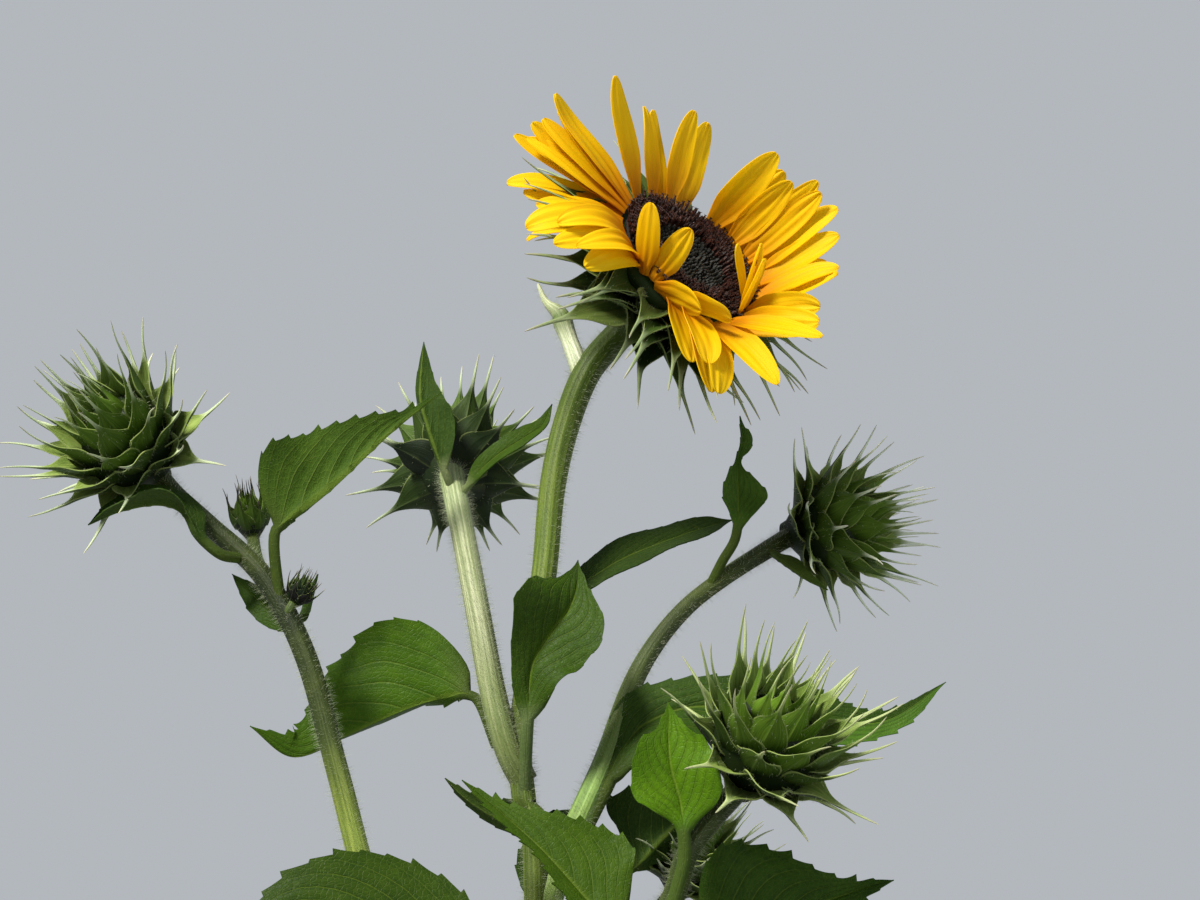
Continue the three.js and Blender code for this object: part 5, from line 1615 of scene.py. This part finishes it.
class SUNFLOWER_OT_hairs(bpy.types.Operator):
    """Grows fine pale hairs on the stems, leaves and bracts"""

    bl_idname = "sunflower.hairs"
    bl_label = "Hairs"

    def execute(self, context):
        scene = context.scene
        stems, leaves, heads = scene.sunflower_stems, scene.sunflower_leaves, scene.sunflower_heads
        material = mottled_finish(
            "pale_hair", scene.sunflower_colours.hair, (0.42, 0.46, 0.34),
            patches=200, grains=200, bump=0.0001, roughness=0.5, glow=0.45,
        )
        tree = hair_tree("pale_hairs", material)
        on_stems = (stems.hair_density, stems.hair_length, stems.hair_width)
        on_leaves = (leaves.hair_density, leaves.hair_length, FINE_HAIR)
        on_bracts = (heads.fringe_density, heads.fringe_length, FINE_HAIR)
        lots = (
            ("main_stem_hairs", "stem", ("stem_main",), on_stems),
            ("side_stem_hairs", "stem", ("stem_", "stalk_", "stub_"), on_stems),
            ("leaf_hairs", "leaf", ("leaf_",), on_leaves),
            ("bract_hairs", "bract", ("bud_", "bloom_cup"), on_bracts),
        )
        done = set()
        for number, (name, slot, prefixes, sizes) in enumerate(lots):
            sources = [o for o in pieces_of(prefixes) if o.name not in done]
            done.update(o.name for o in sources)
            values = dict(zip(("Density", "Length", "Width"), sizes), Seed=number + 1, Lean=0.3)
            piece = joined(name, [grown(o, tree, values) for o in sources], material)
            settle(piece, slot, *sorted({n for o in sources for n in o["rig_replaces"]}))
        return {"FINISHED"}


def aimed_light(name, spot, size, power, colour):
    """A soft round light, aimed at the crown."""
    data = bpy.data.lights.new(name, "AREA")
    data.shape = "DISK"
    data.size = size
    data.energy = power
    data.color = colour
    light = linked(name, data)
    light.location = spot
    towards = Vector((0, 0, CROWN_HEIGHT * METRES)) - Vector(spot)
    light.rotation_euler = towards.to_track_quat("-Z", "Y").to_euler()


class SUNFLOWER_OT_stage(bpy.types.Operator):
    """Makes the camera, the floor and the soft lights"""

    bl_idname = "sunflower.stage"
    bl_label = "Stage"

    def execute(self, context):
        scene, stage = context.scene, context.scene.sunflower_stage
        body = bmesh.new()
        bmesh.ops.create_circle(body, cap_ends=True, segments=64, radius=FLOOR_RADIUS)
        floor = linked("floor", mesh_of(body, "floor"))
        finish = mottled_finish(
            "pale_floor", stage.floor, (0.6, 0.6, 0.58),
            patches=3, grains=90, bump=0.0005, roughness=0.8, detail=3,
        )
        floor.data.materials.append(finish)
        aimed_light("key", KEY_SPOT, size=0.6, power=stage.key_power, colour=(1.0, 0.97, 0.88))
        aimed_light("fill", FILL_SPOT, size=1.6, power=stage.fill_power, colour=(0.9, 0.95, 1.0))
        world = bpy.data.worlds.new("backdrop")
        world.use_nodes = True
        nodes = Nodes(world.node_tree)
        even = nodes.add("ShaderNodeBackground", {"Color": rgba(stage.backdrop), "Strength": 0.8})
        nodes.add("ShaderNodeOutputWorld", {"Surface": even.outputs[0]})
        scene.world = world
        scene.view_settings.view_transform = "Standard"
        data = bpy.data.cameras.new("camera")
        data.lens = stage.lens
        data.sensor_width = 36
        data.clip_start = 0.05
        camera = linked("camera", data)
        camera.location = Vector((CROWN_ACROSS, -VIEW_BACK, CROWN_HEIGHT - VIEW_DROP)) * METRES
        camera.rotation_euler = (math.pi / 2 + VIEW_RISE, 0, 0)
        scene.camera = camera
        return {"FINISHED"}


OPERATORS = (
    SUNFLOWER_OT_stems,
    SUNFLOWER_OT_leaves,
    SUNFLOWER_OT_buds,
    SUNFLOWER_OT_bloom,
    SUNFLOWER_OT_disc,
    SUNFLOWER_OT_hairs,
    SUNFLOWER_OT_stage,
)


class SUNFLOWER_PT_panel(bpy.types.Panel):
    """Lists the steps that make the plant, and their settings"""

    bl_idname = "SUNFLOWER_PT_panel"
    bl_label = "Sunflower plant"
    bl_space_type = "VIEW_3D"
    bl_region_type = "UI"
    bl_category = "Sunflower"

    def draw(self, context):
        for operator in OPERATORS:
            self.layout.operator(operator.bl_idname)
        for name, group in GROUPS.items():
            box = self.layout.box()
            for key in group.__annotations__:
                box.prop(getattr(context.scene, name), key)


def register():
    for group in GROUPS.values():
        bpy.utils.register_class(group)
    for operator in OPERATORS:
        bpy.utils.register_class(operator)
    bpy.utils.register_class(SUNFLOWER_PT_panel)
    for name, group in GROUPS.items():
        setattr(bpy.types.Scene, name, PointerProperty(type=group))


def unregister():
    for name in GROUPS:
        delattr(bpy.types.Scene, name)
    bpy.utils.unregister_class(SUNFLOWER_PT_panel)
    for operator in reversed(OPERATORS):
        bpy.utils.unregister_class(operator)
    for group in reversed(list(GROUPS.values())):
        bpy.utils.unregister_class(group)


def main():
    register()
    bpy.ops.sunflower.stage()
    bpy.ops.sunflower.stems()
    bpy.ops.sunflower.leaves()
    bpy.ops.sunflower.buds()
    bpy.ops.sunflower.bloom()
    bpy.ops.sunflower.disc()
    bpy.ops.sunflower.hairs()


if __name__ == "__main__":
    main()
